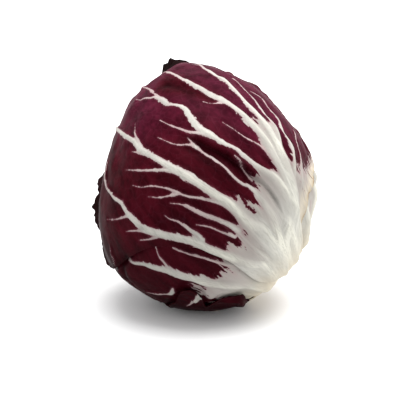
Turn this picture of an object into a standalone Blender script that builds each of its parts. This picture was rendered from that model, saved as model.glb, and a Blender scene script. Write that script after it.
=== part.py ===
"""A head of round radicchio, lying on its side on a table, as a set of separate solids.

Each wrapper leaf is two solids: a thin wine-red blade that cups the head, and the fan of pale ribs
that stands out of its outer face. Under them is the closed heart of inner leaves, and all of them
meet at the cut stem. Every surface is a radius measured from the middle of the head along a
direction, so the leaves are stacked by taking one leaf pitch off the radius for each leaf that
lies over them.
"""

import math

import bpy
import numpy as np

MM = 0.001
DEG = math.pi / 180

# Driving sizes, in metres. The head is about 110 mm wide, 123 mm tall and 115 mm deep.
HEAD_RADIUS = 57.2 * MM
EXTRA_HEIGHT = 3.65 * MM
LEAN = 0.55 * MM
PEAR_ACROSS = 1.28 * MM
PEAR_UP = -2.04 * MM
SHOULDER_UP = 0.56 * MM
SHOULDER_DIAGONAL = 1.19 * MM
CENTRE_HEIGHT = 58.2 * MM

BLADE_THICKNESS = 0.9 * MM
LEAF_PITCH = 3.8 * MM
RIB_GAP = 0.6 * MM
RIB_HEIGHT = 1.4 * MM
RIB_EDGE = 0.45 * MM
BEND_GAP = 0.35 * MM
REST_BLEND = 0.5 * MM
COVER_WIDTH = 24 * DEG

STEM_HALF_ANGLE = 13.0 * DEG
LEAF_FOOT_ANGLE = 14.2 * DEG
STEM_LENGTH = 17.0 * MM

FLARE_REACH = 7.0 * MM
RUFFLE_REACH = 4.0 * MM
FOLD_DEPTH = 1.1 * MM
FOLD_HALF_WIDTH = 6.0 * MM

# The head is drawn from the front, from a little above, as a designer's front view in millimetres
# from the middle of the head: x to the right and y up. These are the axes of that view.
VIEW_ELEVATION = 16 * DEG
VIEW_DISTANCE = 0.80
CENTRE = np.array([0.0, 0.0, CENTRE_HEIGHT])
RIGHT = np.array([1.0, 0.0, 0.0])
UP = np.array([0.0, math.sin(VIEW_ELEVATION), math.cos(VIEW_ELEVATION)])
TOWARD = np.array([0.0, -math.cos(VIEW_ELEVATION), math.sin(VIEW_ELEVATION)])


def unit(v):
    """Each row scaled to length 1."""
    return v / np.linalg.norm(v, axis=-1, keepdims=True)


# The cut stem points down to the right and a little away from the front view.
STEM_AXIS = unit(0.645 * RIGHT - 0.74 * UP - 0.19 * TOWARD)
STEM_FRONT = unit(TOWARD - (TOWARD @ STEM_AXIS) * STEM_AXIS)
STEM_SIDE = np.cross(STEM_FRONT, STEM_AXIS)


def smooth_step(low, high, value):
    """0 below low, 1 above high, and a smooth rise between them."""
    t = np.clip((value - low) / (high - low), 0.0, 1.0)
    return t * t * (3 - 2 * t)


def smooth_min(a, b, width):
    """The smaller of a and b, with the crease between them rounded over a width."""
    near = np.clip(width - np.abs(a - b), 0.0, None)
    return np.minimum(a, b) - near**2 / (4 * width)


def floor_radius(d):
    """How far the table is along each direction; very far for one that doesn't point down."""
    down = np.maximum(-d[..., 2], 1e-6)
    return np.where(d[..., 2] < -0.2, CENTRE_HEIGHT / down, 1.0)


def free_radius(d):
    """The head's plump form: a sphere with a few low waves round the front view's outline."""
    x, y = d @ RIGHT, d @ UP
    return (
        HEAD_RADIUS
        - EXTRA_HEIGHT * (x**2 - y**2)
        + LEAN * 2 * x * y
        + PEAR_ACROSS * (x**3 - 3 * x * y**2)
        + PEAR_UP * (3 * x**2 * y - y**3)
        + SHOULDER_UP * (x**4 - 6 * x**2 * y**2 + y**4)
        + SHOULDER_DIAGONAL * 4 * x * y * (x**2 - y**2)
    )


def plump_radius(d):
    """The outer face of an uncovered leaf: the plump form, pressed flat where the head rests."""
    return smooth_min(free_radius(d), floor_radius(d), REST_BLEND)


def seen(x, y):
    """The direction of the point of the head that the front view shows at (x, y) millimetres."""
    eye = CENTRE + VIEW_DISTANCE * TOWARD
    target = CENTRE + x * MM * RIGHT + y * MM * UP
    ray = unit(target - eye)
    middle = (CENTRE - eye) @ ray
    near, far = middle - 1.5 * HEAD_RADIUS, middle
    for _ in range(40):
        t = (near + far) / 2
        out = eye + t * ray - CENTRE
        length = np.linalg.norm(out)
        if length > plump_radius(out / length):
            near = t
        else:
            far = t
    return unit(eye + far * ray - CENTRE)


def behind(x, y, degrees):
    """The direction past the outline at (x, y) of the front view, so many degrees further back."""
    rim = unit(x * RIGHT + y * UP)
    return math.cos(degrees * DEG) * rim - math.sin(degrees * DEG) * TOWARD


def round_stem(azimuth, angle):
    """The direction at an azimuth round the stem, 0 to the front, and an angle from its axis."""
    a, t = azimuth * DEG, angle * DEG
    across = math.cos(a) * STEM_FRONT + math.sin(a) * STEM_SIDE
    return math.cos(t) * STEM_AXIS + math.sin(t) * across


FOLD_LINE = np.array(
    [seen(*p) for p in ((-12, 27), (0, 20), (13, 12), (24, 5), (32, -3), (37, -12), (39, -21))]
)


def distance_to_line(d, line):
    """Distance in metres from each direction to a line of directions, measured on the head."""
    best = np.full(len(d), 1e9)
    for a, b in zip(line[:-1], line[1:]):
        span = b - a
        along = np.clip((d - a) @ span / (span @ span), 0.0, 1.0)
        gap = np.linalg.norm(d - a - along[:, None] * span, axis=1)
        best = np.minimum(best, gap)
    return best * HEAD_RADIUS


def form_radius(d):
    """The plump form with the long fold that runs under the front leaf's great upper rib."""
    fold = np.exp(-((distance_to_line(d, FOLD_LINE) / FOLD_HALF_WIDTH) ** 2))
    return plump_radius(d) - FOLD_DEPTH * fold


class Leaf:
    """One wrapper leaf, in polar coordinates round its own middle on the head.

    alpha turns round the middle, 0 towards the stem, and rho is the angle from the middle.
    margin holds the directions that the leaf's edge passes through.
    edge holds (alpha, flare, ruffle): how far the margin stands out, and how much it waves,
    in millimetres, at that alpha in degrees.
    """

    def __init__(self, name, middle, margin, edge, waves, outer):
        self.name = name
        self.outer = outer
        self.waves = waves
        self.middle = middle
        self.to_stem = unit(STEM_AXIS - (STEM_AXIS @ middle) * middle)
        self.sideways = np.cross(middle, self.to_stem)
        self.turns = np.radians(np.arange(-180, 181, 1.0))
        alpha, rho = self.polar(np.array(margin))
        order = np.argsort(alpha)
        self.reach = self.closed_curve(alpha[order], rho[order])
        turn = np.radians([e[0] for e in edge])
        self.flare = self.closed_curve(turn, np.array([e[1] for e in edge]) * MM)
        self.ruffle = self.closed_curve(turn, np.array([e[2] for e in edge]) * MM)
        self.stem_side = self.foot_limit()

    def closed_curve(self, turn, value):
        """Values at every degree of turn, along a smooth closed curve through the given ones."""
        turn3 = np.concatenate([turn - 2 * math.pi, turn, turn + 2 * math.pi])
        value3 = np.tile(value, 3)
        fine = np.interp(self.turns, turn3, value3)
        width = 5
        kernel = np.exp(-0.5 * (np.arange(-12, 13) / width) ** 2)
        ring = fine[:-1]
        padded = np.concatenate([ring[-12:], ring, ring[:12]])
        smooth = np.convolve(padded, kernel / kernel.sum(), "valid")
        return np.append(smooth, smooth[0])

    def foot_limit(self):
        """The rho at which each alpha meets the cone that is kept clear for the stem."""
        reach = math.acos(self.middle @ STEM_AXIS)
        swing = np.sin(reach) * np.sin(self.turns)
        inside = np.clip(np.sin(LEAF_FOOT_ANGLE) ** 2 - swing**2, 0.0, None)
        hits = (inside > 0) & (np.cos(self.turns) > 0)
        along = np.arctan2(np.sin(reach) * np.cos(self.turns), math.cos(reach))
        back = np.arccos(
            np.clip(math.cos(LEAF_FOOT_ANGLE) / np.sqrt(1 - np.clip(swing**2, 0, 0.99)), -1, 1)
        )
        return np.where(hits, along - back, math.pi)

    def polar(self, d):
        """(alpha, rho) of directions."""
        rho = np.arccos(np.clip(d @ self.middle, -1.0, 1.0))
        alpha = np.arctan2(d @ self.sideways, d @ self.to_stem)
        return alpha, rho

    def direction(self, alpha, rho):
        """Directions at (alpha, rho)."""
        tangent = np.cos(alpha)[..., None] * self.to_stem + np.sin(alpha)[..., None] * self.sideways
        return np.cos(rho)[..., None] * self.middle + np.sin(rho)[..., None] * tangent

    def margin_rho(self, alpha):
        """How far the leaf reaches at alpha, with the slow waves of its outline."""
        wrapped = (alpha + math.pi) % (2 * math.pi) - math.pi
        reach = np.interp(wrapped, self.turns, self.reach)
        ruffle = np.interp(wrapped, self.turns, self.ruffle)
        wave = 0.9 * ruffle / HEAD_RADIUS * np.sin(self.waves[0] * alpha + self.waves[2])
        limit = np.interp(wrapped, self.turns, self.stem_side)
        return np.minimum(reach + wave, limit)

    def cover(self, d):
        """1 where this leaf lies over a direction, falling to 0 a little way past its margin."""
        alpha, rho = self.polar(d)
        return smooth_step(-COVER_WIDTH, 0.0, self.margin_rho(alpha) - rho)

    def depth(self, d):
        """How far the leaves outside this one push it in."""
        return LEAF_PITCH * sum((o.cover(d) for o in self.outer), np.zeros(len(d)))

    def radius(self, d):
        """The radius of the leaf's outer face along each direction."""
        alpha, rho = self.polar(d)
        wrapped = (alpha + math.pi) % (2 * math.pi) - math.pi
        inset = (self.margin_rho(alpha) - rho) * HEAD_RADIUS
        covered = self.depth(d)
        bare = 1 - smooth_step(0.0, 0.5 * LEAF_PITCH, covered)
        flare = np.interp(wrapped, self.turns, self.flare) * np.exp(-((inset / FLARE_REACH) ** 2))
        wave = 0.5 + 0.3 * np.sin(self.waves[0] * alpha + self.waves[2])
        wave = wave + 0.2 * np.sin(self.waves[1] * alpha - self.waves[2])
        ruffle = np.interp(wrapped, self.turns, self.ruffle) * wave * np.exp(-inset / RUFFLE_REACH)
        edge = form_radius(d) - covered + bare * (flare + ruffle)
        return np.minimum(edge, floor_radius(d))


def closed_plate(outer, inner, triangles):
    """A closed mesh from two faces with the same triangles and a wall round their free edges."""
    count = len(outer)
    ends = np.concatenate([triangles[:, [0, 1]], triangles[:, [1, 2]], triangles[:, [2, 0]]])
    forward = ends[:, 0] * count + ends[:, 1]
    backward = ends[:, 1] * count + ends[:, 0]
    free = ends[~np.isin(forward, backward)]
    walls = np.concatenate(
        [
            np.stack([free[:, 1], free[:, 0], free[:, 0] + count], 1),
            np.stack([free[:, 1], free[:, 0] + count, free[:, 1] + count], 1),
        ]
    )
    faces = np.concatenate([triangles, triangles[:, ::-1] + count, walls])
    return np.concatenate([outer, inner]), faces


def ring_triangles(counts):
    """Triangles of a disc: a middle point, then rings of points that stay equal or double."""
    triangles = []
    first = counts[0]
    for i in range(first):
        triangles.append((0, 1 + i, 1 + (i + 1) % first))
    start = 1
    for n, m in zip(counts[:-1], counts[1:]):
        after = start + n
        for i in range(n):
            a, b = start + i, start + (i + 1) % n
            if m == n:
                c, e = after + i, after + (i + 1) % m
                triangles += [(a, c, e), (a, e, b)]
            else:
                c, e, g = after + 2 * i, after + 2 * i + 1, after + (2 * i + 2) % m
                triangles += [(a, c, e), (a, e, b), (b, e, g)]
        start = after
    return np.array(triangles)


BLADE_RINGS = (12, 24, 24, 48, 48, 48, 48, 48, 48, 96, 96)
BLADE_REACH = (0.08, 0.17, 0.26, 0.36, 0.46, 0.56, 0.66, 0.76, 0.85, 0.93, 1.0)


def vertex_normals(points, triangles):
    """The area-weighted normal at each point."""
    corners = points[triangles]
    normal = np.cross(corners[:, 1] - corners[:, 0], corners[:, 2] - corners[:, 0])
    total = np.zeros_like(points)
    for k in range(3):
        np.add.at(total, triangles[:, k], normal)
    return unit(total)


def blade_mesh(leaf):
    """The leaf's blade: its outer face, and the same face one blade thickness further in."""
    alpha, share = [0.0], [0.0]
    for count, reach in zip(BLADE_RINGS, BLADE_REACH):
        alpha += list(2 * math.pi * np.arange(count) / count)
        share += [reach] * count
    alpha, share = np.array(alpha), np.array(share)
    d = leaf.direction(alpha, share * leaf.margin_rho(alpha))
    outer = CENTRE + d * leaf.radius(d)[:, None]
    triangles = ring_triangles(BLADE_RINGS)
    inner = outer - BLADE_THICKNESS * vertex_normals(outer, triangles)
    return closed_plate(outer, inner, triangles)


def smooth_path(points, count):
    """Evenly spaced directions along a smooth curve through a few, by Catmull-Rom splines."""
    p = np.array(points)
    p = np.concatenate([[2 * p[0] - p[1]], p, [2 * p[-1] - p[-2]]])
    t = np.linspace(0, 1, 12, endpoint=False)[:, None]
    pieces = []
    for a, b, c, e in zip(p[:-3], p[1:-2], p[2:-1], p[3:]):
        pieces.append(
            0.5 * (2 * b + (c - a) * t + (2 * a - 5 * b + 4 * c - e) * t**2
                   + (3 * b - a - 3 * c + e) * t**3)
        )
    fine = unit(np.concatenate([*pieces, [p[-2]]]))
    along = np.append(0, np.cumsum(np.linalg.norm(np.diff(fine, axis=0), axis=1)))
    even = np.linspace(0, along[-1], count)
    return unit(np.stack([np.interp(even, along, fine[:, k]) for k in range(3)], 1))


RIB_FOOT_ANGLE = 16.5
RIB_STEP = 8.0 * MM
RIB_FINE = 200
RIB_TAPER = 1.3
RIB_INSET = 1.5 * MM
TIP_INSET = 6.0 * MM
WEB = 2.2 * MM
BRANCH_STEP = 7.0 * MM


class Rib:
    """A rib from the stem to its tip, wide at the foot and narrow at the tip."""

    def __init__(self, points, foot_half, tip_half):
        self.fine = smooth_path(points, RIB_FINE)
        steps = np.linalg.norm(np.diff(self.fine, axis=0), axis=1) * HEAD_RADIUS
        self.along = np.append(0, np.cumsum(steps))
        self.length = self.along[-1]
        self.foot_half = foot_half
        self.tip_half = tip_half
        steps = int((self.length - 0.4 * RIB_STEP) // RIB_STEP)
        self.stations = np.append(np.arange(steps + 1) * RIB_STEP, self.length)

    def at(self, distance):
        """Directions of the middle of the rib at distances from its foot."""
        return unit(
            np.stack([np.interp(distance, self.along, self.fine[:, k]) for k in range(3)], -1)
        )

    def half(self, distance):
        """Half the rib's width: it narrows fast from the foot and then slowly to the tip."""
        left = np.clip(1 - distance / self.length, 0, 1)
        return (self.tip_half + (self.foot_half - self.tip_half) * left**RIB_TAPER) * MM

    def rails(self):
        """Directions of the left edge, middle and right edge of the rib at its stations."""
        middle = self.at(self.stations)
        ahead = self.at(np.minimum(self.stations + MM, self.length))
        back = self.at(np.maximum(self.stations - MM, 0))
        side = unit(np.cross(middle, ahead - back))
        reach = (self.half(self.stations) / HEAD_RADIUS)[:, None]
        return unit(middle + side * reach), middle, unit(middle - side * reach)


def within_margin(leaf, d):
    """The directions, with those nearer to the leaf's edge than the inset moved in."""
    alpha, rho = leaf.polar(d)
    return leaf.direction(alpha, np.minimum(rho, leaf.margin_rho(alpha) - RIB_INSET / HEAD_RADIUS))


class RibFan:
    """The ribs of a leaf as one plate: side by side at the stem, then parting like fingers."""

    def __init__(self, leaf, ribs, branches):
        self.leaf = leaf
        self.ribs = ribs
        self.rails = [list(rib.rails()) for rib in ribs]
        self.shared = [self.join(i) for i in range(len(ribs) - 1)]
        self.directions = []
        self.lift = []
        self.index = {}
        self.triangles = []
        for i in range(len(ribs)):
            self.add_finger(i)
        for branch in branches:
            self.add_branch(*branch)

    def join(self, i):
        """Gives neighbours the line between them as a common rail until they are well apart."""
        one, two = self.ribs[i], self.ribs[i + 1]
        stations = min(len(one.stations), len(two.stations)) - 2
        middles = self.rails[i][1][:stations], self.rails[i + 1][1][:stations]
        gap = np.linalg.norm(middles[0] - middles[1], axis=1) * HEAD_RADIUS
        wide = one.half(one.stations[:stations]) + two.half(two.stations[:stations]) + WEB
        apart = np.nonzero(gap > wide)[0]
        last = max(1, (apart[0] if len(apart) else stations) - 1)
        between = unit(self.rails[i][1][: last + 1] + self.rails[i + 1][1][: last + 1])
        self.rails[i][2][: last + 1] = between
        self.rails[i + 1][0][: last + 1] = between
        return last

    def vertex(self, i, rail, station):
        """The number of the point on a rail of rib i, made the first time it is asked for."""
        if rail == 2 and i < len(self.ribs) - 1 and station <= self.shared[i]:
            i, rail = i + 1, 0
        key = (i, rail, station)
        if key not in self.index:
            inside = rail == 0 and i > 0 and station <= self.shared[i - 1]
            share = 1 if rail == 1 else 0.6 if inside else 0.0
            toward_tip = self.ribs[i].stations[station] / self.ribs[i].length
            middle = RIB_HEIGHT * (1 - 0.5 * toward_tip)
            self.index[key] = self.point(self.rails[i][rail][station], middle, share)
        return self.index[key]

    def point(self, d, height, share):
        """Adds a point whose height is a share of the way from the edge's to the middle's."""
        self.directions.append(d)
        self.lift.append(RIB_EDGE + (height - RIB_EDGE) * share)
        return len(self.directions) - 1

    def quad(self, a, b, c, e):
        """Adds the two triangles of a four-sided patch."""
        self.triangles += [(a, b, c), (a, c, e)]

    def add_finger(self, i):
        """The strip of patches on both sides of a rib's middle."""
        for s in range(len(self.ribs[i].stations) - 1):
            for rail in (0, 1):
                self.quad(
                    self.vertex(i, rail, s), self.vertex(i, rail + 1, s),
                    self.vertex(i, rail + 1, s + 1), self.vertex(i, rail, s + 1),
                )

    def add_branch(self, i, points, half):
        """A thin side rib that leaves rib i where its path comes nearest."""
        d = smooth_path(points, RIB_FINE)
        length = np.linalg.norm(np.diff(d, axis=0), axis=1).sum() * HEAD_RADIUS
        count = max(3, int(length / BRANCH_STEP) + 1)
        middle = d[np.linspace(0, RIB_FINE - 1, count).astype(int)]
        gaps = np.linalg.norm(self.rails[i][1] - middle[0], axis=1)
        s = int(np.argmin(gaps[:-1] + gaps[1:]))
        across = self.rails[i][2][s] - self.rails[i][0][s]
        rail = 2 if (middle[1] - self.rails[i][1][s]) @ across > 0 else 0
        left, right = self.vertex(i, rail, s), self.vertex(i, rail, s + 1)
        if rail == 2:
            left, right = right, left
        for k in range(1, count):
            ahead = middle[min(k + 1, count - 1)] - middle[k - 1]
            side = unit(np.cross(middle[k], ahead)) * half * MM / HEAD_RADIUS
            if k == count - 1:
                tip = self.point(middle[k], RIB_EDGE, 0.0)
                self.triangles.append((left, right, tip))
            else:
                new_left = self.point(unit(middle[k] - side), RIB_EDGE, 0.0)
                new_right = self.point(unit(middle[k] + side), RIB_EDGE, 0.0)
                self.quad(left, right, new_right, new_left)
                left, right = new_left, new_right

    def mesh(self):
        """The closed plate, held off the blade by the gap and cut level where the head rests."""
        d = within_margin(self.leaf, np.array(self.directions))
        under = np.clip(self.leaf.depth(d) / LEAF_PITCH, 0, 1)
        bend = 4 * under * (1 - under)
        face = self.leaf.radius(d) + RIB_GAP + BEND_GAP * bend
        top = np.minimum(face + np.array(self.lift), floor_radius(d))
        return closed_plate(
            CENTRE + d * top[:, None], CENTRE + d * face[:, None], np.array(self.triangles)
        )


def fan(leaf, tips, foot_half, tip_half, seed):
    """Ribs that leave the stem side by side and spread over the leaf.

    tips holds (azimuth at the stem, azimuth 100 degrees away from the stem, share of the way to
    the margin) for each rib.
    """
    draw = np.random.default_rng(seed)
    ribs = []
    for i, (start, end, share) in enumerate(tips):
        angles = np.arange(RIB_FOOT_ANGLE, 175, 2.0)
        way = (angles - RIB_FOOT_ANGLE) / 100
        wiggle = draw.uniform(0, 2 * math.pi)
        azimuths = start + (end - start) * way + 3.0 * way * np.sin(5 * way + wiggle)
        d = np.array([round_stem(a, t) for a, t in zip(azimuths, angles)])
        alpha, rho = leaf.polar(d)
        outside = np.nonzero(leaf.margin_rho(alpha) - rho < TIP_INSET / HEAD_RADIUS)[0]
        outside = outside[outside > 6]
        last = int((outside[0] if len(outside) else len(d)) * share)
        size = 1 - 0.3 * (i % 2)
        ribs.append(Rib(list(d[: last + 1 : 3]), foot_half * size, tip_half * size))
    return ribs


def drawn_rib(azimuth, foot_half, tip_half, points):
    """A rib from its foot at the stem through points of the front view.

    A point with a third number lies past the outline, that many degrees further back.
    """
    start = [round_stem(azimuth, RIB_FOOT_ANGLE)]
    path = [behind(*p) if len(p) == 3 else seen(*p) for p in points]
    return Rib(start + path, foot_half, tip_half)


def front_ribs():
    """The front leaf's ribs, as the front view shows them, each from the stem out to its tip."""
    drawn = (
        (-18, 4.2, 0.8, ((30, -37.5), (24, -36.5), (9, -31), (-6, -25), (-21, -22), (-34, -16),
                         (-41, -6), (-47, 0))),
        (-11, 2.4, 0.5, ((33, -35), (25, -29), (15, -19), (4, -13.5), (-10, -7.5), (-17, -6.5))),
        (-4, 2.6, 0.6, ((35, -33), (27, -24), (12, -9), (-2, -4), (-17, 0), (-32, 2))),
        (4, 4.8, 0.9, ((36.5, -31), (32, -24), (22, -16), (11, -5.5), (-2, 3), (-16, 11),
                       (-26, 17), (-33, 23.5), (-43, 30), (-46, 33, 10), (-42, 36, 24))),
        (13, 2.6, 0.6, ((38, -29), (34, -14), (24, 0.5), (11, 11), (0, 19), (-15.5, 23),
                        (-23, 26))),
        (22, 4.8, 1.0, ((40, -27), (41, -12), (38, 2), (27, 12), (15, 20), (3, 26.5), (-7, 36),
                        (-14, 42), (-23, 46.5), (-28, 50, 2), (-26, 52, 18))),
        (29, 1.6, 0.4, ((42, -25), (43, -8), (35, 14), (28, 22), (18, 31), (9, 37))),
        (36, 4.2, 0.8, ((43, -23), (44, -6), (39, 10), (29, 27), (19, 37), (3, 48), (-10, 55),
                        (-17, 58.5))),
        (43, 4.0, 0.9, ((44, -21), (46, -3), (41, 14), (32, 32), (18, 45), (7, 56), (-3, 63))),
        (49, 2.6, 0.5, ((45, -19), (48, 0), (42, 20), (33, 32), (25, 46), (15, 56))),
        (55, 2.6, 0.4, ((46, -17), (50, 2), (46, 18), (38, 32), (31, 43), (25, 50))),
    )
    return [drawn_rib(*rib) for rib in drawn]


def front_branches():
    """Side ribs of the front leaf: the rib each leaves, its path, and half its width."""
    drawn = (
        (0, ((-1, -24), (-8, -19), (-13, -15.7), (-20, -12.7)), 0.5),
        (0, ((-25, -21), (-32, -20), (-39, -20.5)), 0.5),
        (3, ((-6, 6), (-12, 9), (-19, 9.7), (-29, 9.7), (-39, 10)), 0.6),
        (3, ((-30, 20), (-34, 27), (-34.6, 33)), 0.6),
        (5, ((12, 21), (6.7, 24.7), (-2, 28.2), (-9, 29.5), (-16.5, 32), (-22.5, 34.6)), 0.7),
        (7, ((25, 31), (12, 39), (4, 43), (-3, 45.5)), 0.5),
    )
    return [(i, [seen(*p) for p in points], half) for i, points, half in drawn]


def lower_ribs():
    """The lower leaf's ribs: a fan round the underside, then those in the front view."""
    hidden = ((-96, -118, 0.76), (-76, -90, 0.88), (-56, -66, 0.84), (-42, -52, 0.64))
    drawn = (
        (-28, 4.6, 0.9, ((26, -49), (12, -47), (3, -45), (-10, -41.5), (-23, -38), (-33, -35.5))),
        (-16, 2.4, 0.5, ((26, -45.5), (10, -41), (-2, -33.5), (-9, -31), (-16, -29.5))),
    )
    return hidden, [drawn_rib(*rib) for rib in drawn]


def make_leaves():
    """The wrapper leaves, outermost first: each lies under the ones made before it."""
    made = []

    def add(name, middle, margin, edge, waves):
        made.append(Leaf(name, middle, margin, edge, waves, list(made)))

    add(
        "torn_leaf", round_stem(-98, 45),
        [round_stem(-46, 17), round_stem(-34, 26), seen(20, -52), seen(8, -51.5), seen(-1, -50),
         seen(-8, -49.5), seen(-13, -51.5), seen(-15, -56), round_stem(-84, 66),
         round_stem(-100, 76), round_stem(-118, 80), round_stem(-136, 72), round_stem(-152, 55),
         round_stem(-160, 35), round_stem(-155, 20)],
        [(-180, 0.4, 0.8), (-90, 0.4, 0.8), (0, 0, 0), (44, 0.2, 0.2), (56, 2.2, 1.2),
         (80, 3.4, 2.4), (94, 3.0, 2.4), (106, 0.6, 0.8)], (19, 31, 0.4),
    )
    add(
        "front_leaf", seen(-7, 10),
        [round_stem(-40, 16), round_stem(-20, 30), seen(26, -41), seen(18, -37), seen(10, -34),
         seen(4, -31.5),
         seen(-1, -28.7), seen(-11, -27.2), seen(-19, -28), seen(-27, -28), seen(-34, -30),
         seen(-40, -34.7), behind(-46, -38, 0), behind(-51, -20, 5), behind(-54, -4, 8),
         behind(-50, 14, 22), behind(-42, 32, 36), behind(-30, 51, 32), behind(-15, 60, 10),
         behind(0, 60, 18), behind(10, 58, 13), behind(20, 54, 5), behind(30, 48, 4),
         behind(40, 37, 6), behind(50, 22, 4), seen(52, 10), seen(51, -2), seen(48.5, -11),
         seen(47, -20), round_stem(42, 30), round_stem(66, 17)],
        [(-180, 1.2, 1.8), (-149, 1.2, 2.0), (-128, 1.4, 2.8), (-108, 1.4, 2.8),
         (-92, 0.8, 1.4), (-80, 0.2, 0.5), (-40, 0, 0.2), (0, 0, 0), (32, 0, 0.3),
         (56, 0.6, 0.8), (73, 1.2, 1.0), (107, 1.8, 1.2), (130, 1.4, 1.4), (142, 1.0, 1.6),
         (148, 3.6, 3.4), (158, 4.2, 3.8), (164, 1.2, 1.8)], (23, 33, 0.9),
    )
    add(
        "right_leaf", round_stem(98, 84),
        [round_stem(22, 18), round_stem(8, 36), round_stem(12, 60), round_stem(28, 92),
         round_stem(50, 122), round_stem(85, 148), round_stem(135, 152), round_stem(172, 130),
         round_stem(196, 102), round_stem(200, 72), round_stem(188, 44), round_stem(165, 22)],
        [(-180, 0.6, 1.2), (-90, 0, 0.2), (0, 0, 0), (60, 0.6, 0.8), (110, 1.4, 1.6)],
        (21, 37, 2.1),
    )
    add(
        "lower_leaf", round_stem(-62, 72),
        [round_stem(-2, 18), round_stem(5, 45), round_stem(-3, 75), round_stem(-18, 100),
         round_stem(-42, 118), round_stem(-70, 124), round_stem(-98, 116), round_stem(-120, 98),
         round_stem(-130, 72), round_stem(-122, 48), round_stem(-88, 22)],
        [(-180, 0.8, 1.2), (-120, 0.8, 1.4), (0, 0, 0), (90, 0, 0.2)], (17, 29, 3.3),
    )
    add(
        "back_leaf", round_stem(184, 84),
        [round_stem(120, 18), round_stem(112, 40), round_stem(118, 70), round_stem(132, 104),
         round_stem(150, 134), round_stem(200, 152), round_stem(248, 142), round_stem(268, 120),
         round_stem(272, 92), round_stem(262, 62), round_stem(254, 38), round_stem(246, 20)],
        [(-180, 0.4, 0.8), (-90, 0, 0.3), (0, 0, 0), (90, 0.4, 0.8)], (19, 33, 4.4),
    )
    return made


def material(name, colour, roughness):
    """A plain surface colour for one kind of piece."""
    made = bpy.data.materials.new(name)
    made.use_nodes = True
    shader = made.node_tree.nodes["Principled BSDF"]
    shader.inputs["Base Color"].default_value = (*colour, 1)
    shader.inputs["Roughness"].default_value = roughness
    shader.inputs["Metallic"].default_value = 0
    return made


def add_object(name, mesh_data, surface):
    """Links one closed mesh to the scene under its sub-part's name."""
    points, faces = mesh_data
    mesh = bpy.data.meshes.new(name)
    mesh.from_pydata(points.tolist(), [], faces.tolist())
    mesh.materials.append(surface)
    mesh.shade_smooth()
    mesh.set_sharp_from_angle(angle=40 * DEG)
    made = bpy.data.objects.new(name, mesh)
    bpy.context.scene.collection.objects.link(made)
    return made


HEART_GAP = 1.3 * MM
HEART_ROWS = 16
HEART_SECTORS = 36
HEART_FOLDS = 5


def heart_mesh(leaves):
    """The closed heart: the form under all the leaves, with a few overlapping leaf edges."""
    rows = np.linspace(0, math.pi, HEART_ROWS + 1)[1:-1]
    turn = 2 * math.pi * np.arange(HEART_SECTORS) / HEART_SECTORS
    angle, azimuth = np.meshgrid(rows, turn, indexing="ij")
    angle = np.concatenate([[0.0], angle.ravel(), [math.pi]])
    azimuth = np.concatenate([[0.0], azimuth.ravel(), [0.0]])
    tip = -STEM_AXIS
    across = np.cos(azimuth)[:, None] * STEM_FRONT + np.sin(azimuth)[:, None] * STEM_SIDE
    d = unit(np.cos(angle)[:, None] * tip + np.sin(angle)[:, None] * across)
    covered = LEAF_PITCH * sum(leaf.cover(d) for leaf in leaves)
    edge = (azimuth * HEART_FOLDS / (2 * math.pi) + angle * 0.5) % 1.0
    step = 1.2 * MM * edge * smooth_step(0.1, 0.5, angle) * smooth_step(2.6, 1.6, angle)
    radius = form_radius(d) - covered - BLADE_THICKNESS - HEART_GAP - step
    stem_room = smooth_step(math.pi - 0.45, math.pi - 0.25, angle)
    under_stem = np.min(radius[angle > math.pi - 0.45]) - 1.5 * MM
    radius = radius * (1 - stem_room) + np.minimum(radius, under_stem) * stem_room
    points = CENTRE + d * radius[:, None]
    faces = []
    last = len(points) - 1
    for j in range(HEART_SECTORS):
        k = (j + 1) % HEART_SECTORS
        faces.append((0, 1 + k, 1 + j))
        for i in range(len(rows) - 1):
            a, b = 1 + i * HEART_SECTORS + j, 1 + i * HEART_SECTORS + k
            faces += [(a, b, b + HEART_SECTORS), (a, b + HEART_SECTORS, a + HEART_SECTORS)]
        faces.append((last - HEART_SECTORS + j, last - HEART_SECTORS + k, last))
    return (points, np.array(faces)), under_stem


def stem_mesh(under_stem):
    """The cut stem: a stub on the stem's axis that widens to its cut face, slightly dished."""
    sectors = 24
    outer_end = plump_radius(STEM_AXIS[None])[0] - 1.2 * MM
    inner_end = under_stem + 0.5 * MM
    narrow = STEM_HALF_ANGLE
    profile = (
        (0.0, inner_end), (narrow * 0.96, inner_end + 0.2 * MM), (narrow, inner_end + 2.0 * MM),
        (narrow, outer_end - 1.0 * MM), (narrow * 0.93, outer_end), (narrow * 0.5, outer_end - 0.5 * MM),
        (0.0, outer_end - 0.7 * MM),
    )
    points, faces = [], []
    for angle, radius in profile:
        ring = [0] if angle == 0.0 else range(sectors)
        for k in ring:
            turn = 2 * math.pi * k / sectors
            across = math.cos(turn) * STEM_FRONT + math.sin(turn) * STEM_SIDE
            d = math.cos(angle) * STEM_AXIS + math.sin(angle) * across
            points.append(CENTRE + d * radius)
    for k in range(sectors):
        n = (k + 1) % sectors
        faces.append((0, 1 + n, 1 + k))
        for row in range(len(profile) - 3):
            a, b = 1 + row * sectors + k, 1 + row * sectors + n
            faces += [(a, b, b + sectors), (a, b + sectors, a + sectors)]
        last = 1 + (len(profile) - 3) * sectors
        faces.append((last + k, last + n, last + sectors))
    return np.array(points), np.array(faces)


def outward(mesh_data):
    """The same mesh with its faces turned to point out, told by the sign of its volume."""
    points, faces = mesh_data
    a, b, c = (points[faces[:, k]] - CENTRE for k in range(3))
    volume = np.einsum("ij,ij->", a, np.cross(b, c))
    return (points, faces[:, ::-1]) if volume < 0 else (points, faces)


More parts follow.
